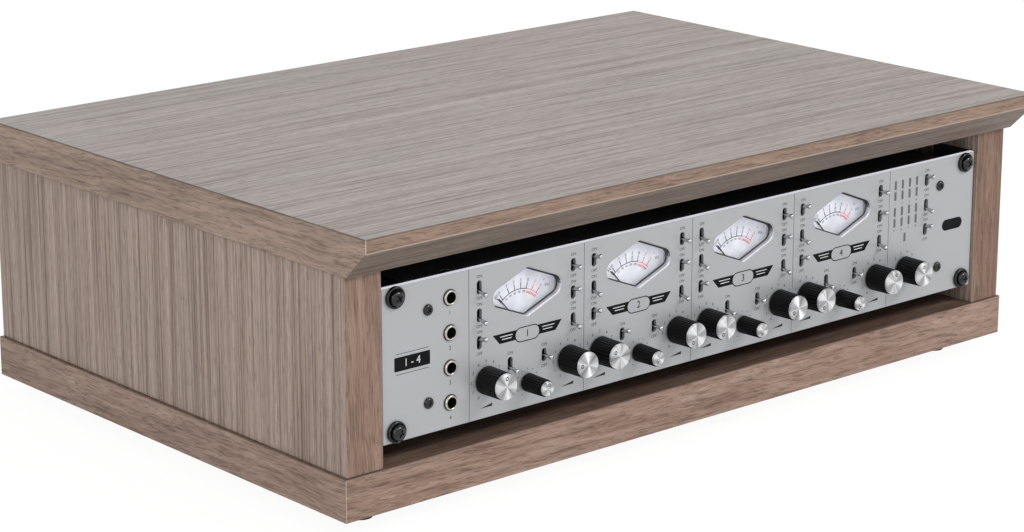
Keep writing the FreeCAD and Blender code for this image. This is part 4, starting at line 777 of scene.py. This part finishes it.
def rack_fixings():
    """Thick cup washers with rolled rims, and domed screws in them."""
    places = [(across, up) for across in RACK_SCREW_COLUMNS for up in RACK_SCREW_ROWS]
    profile = ((2.95, 0.0), (6.3, 0.0), (6.3, 1.2), (6.2, 1.7), (5.9, 2.0), (5.55, 2.1), (5.25, 2.0),
               (4.95, 1.6), (4.7, 1.35), (2.95, 1.3), (2.95, 0.0))
    washers = several(turned_mesh(profile), [facing_front(*place) for place in places])
    piece = finished("cup_washer_set", washers, GLOSS_BLACK, "stand")
    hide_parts("cup_washers")
    head = cross_head(((0.0, -3.0), (2.9, -3.0), (2.9, 1.35), (4.4, 1.35), (4.55, 1.8), (4.55, 2.6),
                       (4.35, 3.3), (3.8, 4.0), (3.0, 4.5), (2.0, 4.8), (1.0, 4.92), (0.0, 4.95)),
                      2.3, 0.95, 3.7)
    turned = [facing_front(*place, 20 + 37 * index) for index, place in enumerate(places)]
    piece = finished("rack_screw_set", several(head, turned), GLOSS_BLACK, "stand")
    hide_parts("rack_screws")


def chassis_fixings():
    """Small domed screws wherever the chassis has one, on the faceplate and down the cover."""
    places = []
    for index, (low, high) in enumerate(loose_solids("chassis_screws")):
        middle = (low + high) / 2
        if middle.y < PLATE_FRONT + 5:
            across, up = middle.x - PLATE_LEFT, middle.z - PLATE_BOTTOM
            places.append(facing_front(across, up, 15 + 31 * index))
        else:
            places.append(Matrix.Translation((middle.x, middle.y, high.z - 1.7))
                          @ Matrix.Rotation(0.7 * index, 4, "Z"))
    head = cross_head(((0.0, -3.0), (1.9, -3.0), (1.9, 0.0), (3.2, 0.0), (3.3, 0.25), (3.2, 0.7), (2.8, 1.2),
                       (2.1, 1.52), (1.2, 1.67), (0.0, 1.7)), 1.75, 0.75, 0.75)
    piece = finished("small_screw_set", several(head, places), GLOSS_BLACK, "stand")
    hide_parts("chassis_screws")


def rear_trims():
    """Nickel screws and rings on the sockets' flanges, and bare blades in the mains inlet."""
    def facing_back(across, up):
        return (Matrix.Translation((across, REAR_FLANGE, UNIT_MIDDLE + up))
                @ Matrix.Rotation(math.radians(-90), 4, "X"))

    lip = turned_mesh(((8.3, -0.5), (9.6, -0.5), (9.6, 0.2), (9.4, 0.55), (9.0, 0.7), (8.6, 0.6), (8.3, 0.2),
                       (8.3, -0.5)))
    sockets = [FIRST_SOCKET + SOCKET_PITCH * index for index in range(SOCKETS)]
    rings = several(lip, [facing_back(across, 0.0) for across in sockets])
    finished("rear_socket_rings", rings, NICKEL, "stand")
    places = []
    for across, reach, rise in [(across, 10.0, 12.5) for across in sockets] + [(INLET_MIDDLE, 20.0, 0.0)]:
        for side in (-1, 1):
            places.append(facing_back(across + side * reach, side * rise)
                          @ Matrix.Rotation(0.9 * len(places), 4, "Z"))
    head = cross_head(((0.0, 0.0), (2.3, 0.0), (2.25, 0.4), (1.9, 0.85), (1.2, 1.15), (0.0, 1.25)),
                      1.3, 0.6, 0.6)
    finished("rear_screw_set", several(head, places), NICKEL, "stand")
    blades = bmesh.new()
    for step in (-1, 0, 1):
        made = bmesh.ops.create_cube(blades, size=1.0)["verts"]
        bmesh.ops.scale(blades, vec=(2.1, 12.1, 4.1), verts=made)
        middle = (INLET_MIDDLE + BLADE_PITCH * step, REAR_FLANGE - 9.0, UNIT_MIDDLE - 2.5)
        bmesh.ops.translate(blades, vec=middle, verts=made)
    bmesh.ops.bevel(blades, geom=blades.edges[:], offset=0.35, segments=2, affect="EDGES", clamp_overlap=True)
    finished("inlet_blades", blades, NICKEL, "stand")


def jack_trims():
    """A bright ring with a rounded edge, over a thin black washer."""
    places = [facing_front(JACK_COLUMN, FIRST_JACK_ROW + index * JACK_PITCH) for index in CHANNELS]
    ring = turned_mesh(((4.0, 0.0), (4.35, 0.0), (4.35, 0.9), (4.25, 1.25), (4.0, 1.5), (3.7, 1.6),
                        (3.45, 1.55), (3.28, 1.42), (4.0, 1.42), (4.0, 0.0)))
    washer = turned_mesh(((4.3, 0.0), (4.75, 0.0), (4.75, 0.2), (4.65, 0.3), (4.3, 0.3), (4.3, 0.0)))
    piece = finished("jack_ring_set", several(ring, places), NICKEL, "stand")
    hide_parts("jack_rings")
    finished("jack_washer_set", several(washer, places), MOULDED_BLACK, "stand")


def lozenge(grow, count=9):
    """The outline of a meter's window, grown outwards all round."""
    half_width, half_height, end, crown = 25.5, 14.2, 6.2, 3.0
    reach, rise = half_width - end, half_height - crown
    slope = math.degrees(math.acos((end - crown) / math.hypot(reach, rise)))
    turn = math.degrees(math.atan2(rise, -reach)) - slope
    points = arc_points(end + grow, -turn, turn, count, (reach, 0.0))
    points += arc_points(crown + grow, turn, 180 - turn, count, (0.0, rise))
    points += arc_points(end + grow, 180 - turn, 180 + turn, count, (-reach, 0.0))
    return points + arc_points(crown + grow, 180 + turn, 360 - turn, count, (0.0, -rise))


def slot_linings():
    """A thin lining in each switch's slot: grey where the light reaches, and black farther in, as painted
    shade where the slot is dark only for lack of light. Its ends slope a little, so that no two of its rings
    are in one plane."""
    places = [(MASTER_COLUMN, row) for row in TOGGLE_ROWS]
    for middle in CHANNEL_MIDDLES:
        places += [(middle + column, row) for column in TOGGLE_COLUMNS for row in TOGGLE_ROWS]
        places += [(middle + side * INNER_REACH, INNER_ROW) for side in (-1, 1)]
    # The wells are black as painted shade deep in each slot.
    for name, finish, near, far, slot in (
            ("slot_linings", SLOT_WALL, -0.15, -2.1, "brushed_plate"),
            ("slot_shade_wells", SLOT_BLACK, -2.12, -3.2, "black_moulding")):
        steps = ((SLOT_RADIUS, near - LINING_SLOPE), (LINING_RADIUS, near), (LINING_RADIUS, far),
                 (SLOT_RADIUS, far + LINING_SLOPE), (SLOT_RADIUS, near - LINING_SLOPE))
        outlines = [[(y, x, height) for x, y in obround(SLOT_REACH + radius, radius, 9)]
                    for radius, height in steps]
        shape = bmesh.new()
        for across, up in places:
            before = set(shape.verts)
            bridge_rings(shape, outlines)
            bmesh.ops.remove_doubles(shape, verts=added(shape, before), dist=WELD)
            bmesh.ops.transform(shape, matrix=facing_front(across, up), verts=added(shape, before))
        bmesh.ops.recalc_face_normals(shape, faces=shape.faces)
        finished(name, shape, finish, "stand")


def window_trims():
    """A thin chamfered lining in each meter's window, with a dark strip behind it as painted shade for the
    gap between the faceplate and the meter.
    """
    chamfer = ((0.6, 0.06), (0.6, 0.0), (-0.2, -0.8), (-0.2, -3.2))
    strip = ((0.3, -3.25), (-1.1, -3.2), (-1.1, -3.6))
    for name, finish, steps, slot in (("window_lining_set", PLATE_EDGE, chamfer, "brushed_plate"),
                                      ("window_gap_shade_set", GAP_SHADE, strip, "black_moulding")):
        shape = bmesh.new()
        for middle in CHANNEL_MIDDLES:
            before = set(shape.verts)
            bridge_rings(shape, [[(x, y, height) for x, y in lozenge(grow)] for grow, height in steps])
            place = facing_front(middle, METER_ROW, 0.0, PRINT_RISE)
            bmesh.ops.transform(shape, matrix=place, verts=added(shape, before))
        bmesh.ops.recalc_face_normals(shape, faces=shape.faces)
        for face in shape.faces:
            outward = face.calc_center_median()
            middle = min((on_plate(column, METER_ROW) for column in CHANNEL_MIDDLES),
                         key=lambda point: abs(point.x - outward.x))
            inward = Vector((middle.x - outward.x, -8.0, middle.z - outward.z))
            if face.normal.dot(inward) < 0:
                face.normal_flip()
        finished(name, shape, finish, "stand")


# Printing on the faceplate

def divider_lines():
    """A thin upright line between the sections of the faceplate."""
    outlines = [(rounded(0.14, PLATE_HEIGHT / 2 - 0.3, 0.1, 3), across, PLATE_HEIGHT / 2, 0.0)
                for across in DIVIDERS]
    printed("divider_lines", flat_shape(outlines), PRINT_GREY)


def ribbons():
    """Black ribbons under the meters, each with a plate-coloured badge for its channel's number."""
    trapezoid = ((-25.6, 3.4), (-20.6, -2.3), (21.2, -2.3), (25.9, 3.4))
    black, pale, rules, numbers = [], [], [], []
    for index, middle in enumerate(CHANNEL_MIDDLES):
        black.append((trapezoid, middle, RIBBON_ROW, 0.0))
        black.append((obround(9.3, 4.4), middle, RIBBON_ROW, PRINT_RISE))
        pale.append((obround(8.7, 3.8), middle, RIBBON_ROW, 2 * PRINT_RISE))
        for side in (-1, 1):
            rules.append((rounded(4.6, 0.26, 0.1, 3), middle + side * 15.6, 44.6, PRINT_RISE))
            rules.append((rounded(3.6, 0.26, 0.1, 3), middle + side * 15.2, 42.9, PRINT_RISE))
        numbers.append((str(index + 1), middle, RIBBON_ROW, 3 * PRINT_RISE, 4.2, 0.0))
    printed("channel_ribbons", flat_shape(black), PRINT_BLACK)
    printed("channel_badges", flat_shape(pale), PLATE_METAL)
    printed("ribbon_rules", flat_shape(rules), PRINT_PALE)
    printed("channel_numbers", lettering(numbers), PRINT_BLACK)


def switch_words():
    """ON above and OFF below each switch, and plain numbers for the jacks and the light bars."""
    words = []

    def pair(across, row, low=True):
        words.append(("ON", across, row + WORD_RISE, 0.0, WORD_HEIGHT, 0.0))
        if low:
            words.append(("OFF", across, row - WORD_RISE, 0.0, WORD_HEIGHT, 0.0))

    for index, middle in enumerate(CHANNEL_MIDDLES):
        for column in TOGGLE_COLUMNS:
            for row in TOGGLE_ROWS:
                pair(middle + column, row)
        pair(middle - INNER_REACH, INNER_ROW, False)
        pair(middle + INNER_REACH, INNER_ROW)
        words.append((str(4 - index), JACK_COLUMN, FIRST_JACK_ROW + index * JACK_PITCH - 8.8, 0.0, 2.4, 0.0))
        column = FIRST_LIGHT + index * LIGHT_PITCH
        for number, row in zip((index + 1, index + 5), LIGHT_NUMBER_ROWS):
            words.append((str(number), column, row, 0.0, 1.5, 0.0))
    for row in TOGGLE_ROWS:
        pair(MASTER_COLUMN, row)
    printed("switch_words", lettering(words), PRINT_GREY)


def knob_scales():
    """Numbers from 0 to 10 and a rising wedge at each large knob, and dots round the small ones."""
    words, marks = [], []
    wedge = ((-4.5, -0.7), (4.5, -0.7), (4.5, 1.1))
    dot = arc_points(0.36, 0, 330, 12)

    def numbers(across, first, angles):
        for step, angle in enumerate(angles):
            place = round_about(across, KNOB_ROW, NUMBER_REACH, angle)
            words.append((str(first + step), *place, 0.0, WORD_HEIGHT, 0.0))

    for middle in CHANNEL_MIDDLES:
        for side in (-1, 1):
            numbers(middle + side * KNOB_REACH, 0, KNOB_STEPS)
            marks.append((wedge, middle + side * KNOB_REACH, 6.6, 0.0))
        for angle in KNOB_STEPS:
            marks.append((dot, *round_about(middle, BLEND_ROW, DOT_REACH, angle), 0.0))
    numbers(CLOCK_COLUMN, 1, CLOCK_STEPS)
    printed("knob_numbers", lettering(words), PRINT_GREY)
    printed("knob_marks", flat_shape(marks), PRINT_GREY)


def plain_badges():
    """A black badge at the left with the numbers of the four inputs, and a plain bar at the right."""
    rule = rounded(11.6, 0.14, 0.1, 3)
    black = [(rounded(12.5, 4.0, 0.4), *LEFT_BADGE, 0.0), (obround(9.5, 3.6), *RIGHT_BADGE, 0.0)]
    black += [(rule, LEFT_BADGE[0], row, 0.0) for row in (49.6, 38.0)]
    printed("plain_badges", flat_shape(black), PRINT_BLACK)
    words = [("1 - 4", *LEFT_BADGE, PRINT_RISE, 4.4, 0.0)]
    printed("badge_numbers", lettering(words), PRINT_PALE)


# Meter dials

def meter_scales():
    """Arc, ticks and numbers of each dial, black up to zero and red past it, and red blocks under the arc."""
    face = -DIAL_DEPTH
    black, red, words, red_words = [], [], [], []
    labels = (("20", -43.5), ("10", -37.5), ("7", -22), ("5", -9.5), ("3", 3), ("0", 15.5), ("2", 28),
              ("3", 40))
    pivot = METER_ROW - PIVOT_DROP
    for middle in CHANNEL_MIDDLES:
        arc = band(ARC_RADIUS - ARC_HALF, ARC_RADIUS + ARC_HALF, 90 + ARC_END, 90 - ARC_ZERO)
        black.append((arc, middle, pivot, face))
        arc = band(ARC_RADIUS - RED_ARC_HALF, ARC_RADIUS + RED_ARC_HALF, 90 - ARC_ZERO, 90 - ARC_END)
        red.append((arc, middle, pivot, face))
        for step in range(7):
            edge = 90 - FIRST_BLOCK - BLOCK_PITCH * step
            block = band(ARC_RADIUS - 2.5, ARC_RADIUS - 1.1, edge, edge - BLOCK_ANGLE, 3)
            red.append((block, middle, pivot, face))
        for text, angle in labels:
            tick = band(ARC_RADIUS, ARC_RADIUS + TICK_LENGTH, 90 - angle - TICK_HALF_ANGLE,
                        90 - angle + TICK_HALF_ANGLE, 2)
            (black if angle < ARC_ZERO else red).append((tick, middle, pivot, face))
            place = round_about(middle, pivot, ARC_RADIUS + 5.0, angle)
            target = words if angle < ARC_ZERO else red_words
            target.append((text, *place, face, WORD_HEIGHT, angle))
        for step in range(6):
            angle = -42 + 10.6 * step
            place = round_about(middle, pivot, ARC_RADIUS - 1.7, angle)
            words.append((str(step * 20), *place, face, 1.3, angle))
        words.append(("VU", middle + 21.0, METER_ROW - 1.3, face, 1.9, 0.0))
        words.append(("-", middle - 20.0, METER_ROW + 1.9, face, 2.4, 0.0))
        red_words.append(("+", middle + 18.6, METER_ROW + 2.1, face, 2.0, 0.0))
    printed("meter_scale_black", flat_shape(black), PRINT_BLACK)
    printed("meter_scale_red", flat_shape(red), PRINT_RED)
    printed("meter_numbers_black", lettering(words), PRINT_BLACK)
    printed("meter_numbers_red", lettering(red_words), PRINT_RED)


# Studio

WORLD_STRENGTH = 0.54
BACKDROP_GLOW = 1.05
FLOOR_GLOW = 0.9
FLOOR_HALF = 6.0
FLOOR_GREY = 0.85
LAMP_TARGET = (0, 0, 0.08)
# Each lamp's place, width, height and power
LAMPS = (("front_softbox", (-0.3, -1.95, 1.7), 2.4, 0.4, 9.0),
         ("left_softbox", (-2.2, -0.8, 1.3), 1.4, 1.0, 7.2),
         ("left_strip", (-2.0, -1.25, 0.5), 0.14, 0.5, 3.2),
         ("key_softbox", (1.6, -2.5, 2.15), 1.15, 0.72, 35.0),
         ("overhead_softbox", (0.4, 0.5, 2.4), 1.6, 1.6, 4.0))
CAMERA_PLACE = (-1.1818, -1.3498, 0.5763)
CAMERA_AZIMUTH = -41.01
CAMERA_ELEVATION = 15.74
FOCUS_PIXELS = 2950.9
PHOTO_WIDTH = 1024
SENSOR_WIDTH = 36.0


def seen_directly(tree):
    """High for rays from the camera, and for reflections and refractions, which show the same backdrop."""
    path = tree.nodes.new("ShaderNodeLightPath")
    total = path.outputs["Is Camera Ray"]
    for word in ("Is Glossy Ray", "Is Transmission Ray"):
        either = tree.nodes.new("ShaderNodeMath")
        either.operation = "MAXIMUM"
        tree.links.new(total, either.inputs[0])
        tree.links.new(path.outputs[word], either.inputs[1])
        total = either.outputs[0]
    return total


def studio():
    """A pale floor, soft lamps and the world round them."""
    world = bpy.data.worlds.new("studio")
    bpy.context.scene.world = world
    world.use_nodes = True
    tree = world.node_tree
    light = tree.nodes["Background"]
    light.inputs["Color"].default_value = (1.0, 1.0, 1.0, 1.0)
    light.inputs["Strength"].default_value = WORLD_STRENGTH
    white = tree.nodes.new("ShaderNodeBackground")
    white.inputs["Color"].default_value = (1.0, 1.0, 1.0, 1.0)
    white.inputs["Strength"].default_value = BACKDROP_GLOW
    mixed = tree.nodes.new("ShaderNodeMixShader")
    tree.links.new(seen_directly(tree), mixed.inputs[0])
    tree.links.new(light.outputs[0], mixed.inputs[1])
    tree.links.new(white.outputs[0], mixed.inputs[2])
    tree.links.new(mixed.outputs[0], tree.nodes["World Output"].inputs[0])

    floor = bmesh.new()
    bmesh.ops.create_grid(floor, x_segments=1, y_segments=1, size=FLOOR_HALF)
    mesh = bpy.data.meshes.new("floor")
    floor.to_mesh(mesh)
    floor.free()
    ground = bpy.data.objects.new("floor", mesh)
    bpy.context.collection.objects.link(ground)
    finish = bpy.data.materials.new("floor_white")
    finish.use_nodes = True
    tree = finish.node_tree
    surface = tree.nodes["Principled BSDF"]
    surface.inputs["Base Color"].default_value = (*(FLOOR_GREY,) * 3, 1.0)
    surface.inputs["Roughness"].default_value = 0.9
    glow = tree.nodes.new("ShaderNodeEmission")
    glow.inputs["Strength"].default_value = BACKDROP_GLOW
    share = tree.nodes.new("ShaderNodeMath")
    share.operation = "MULTIPLY"
    share.inputs[1].default_value = FLOOR_GLOW
    blend = tree.nodes.new("ShaderNodeMixShader")
    tree.links.new(seen_directly(tree), share.inputs[0])
    tree.links.new(share.outputs[0], blend.inputs[0])
    tree.links.new(surface.outputs[0], blend.inputs[1])
    tree.links.new(glow.outputs[0], blend.inputs[2])
    tree.links.new(blend.outputs[0], tree.nodes["Material Output"].inputs[0])
    mesh.materials.append(finish)

    for name, place, width, depth, power in LAMPS:
        lamp = bpy.data.lights.new(name, "AREA")
        lamp.shape = "RECTANGLE"
        lamp.size, lamp.size_y = width, depth
        lamp.energy = power
        item = bpy.data.objects.new(name, lamp)
        item.location = place
        item.rotation_euler = (Vector(LAMP_TARGET) - Vector(place)).to_track_quat("-Z", "Y").to_euler()
        bpy.context.collection.objects.link(item)


def camera():
    """The photo's view, solved for it without shift."""
    azimuth, elevation = math.radians(CAMERA_AZIMUTH), math.radians(CAMERA_ELEVATION)
    back = Vector((math.sin(azimuth) * math.cos(elevation), -math.cos(azimuth) * math.cos(elevation),
                   math.sin(elevation)))
    view = bpy.data.cameras.new("photo_view")
    view.sensor_width = SENSOR_WIDTH
    view.lens = FOCUS_PIXELS * SENSOR_WIDTH / PHOTO_WIDTH
    view.clip_start, view.clip_end = 0.05, 30.0
    item = bpy.data.objects.new("photo_view", view)
    item.location = CAMERA_PLACE
    item.rotation_euler = (-back).to_track_quat("-Z", "Y").to_euler()
    bpy.context.collection.objects.link(item)
    bpy.context.scene.camera = item


bpy.context.scene.view_settings.view_transform = "Standard"
camera()
studio()
finish_nodes()
knobs()
rack_fixings()
chassis_fixings()
rear_trims()
jack_trims()
slot_linings()
window_trims()
divider_lines()
ribbons()
switch_words()
knob_scales()
plain_badges()
meter_scales()
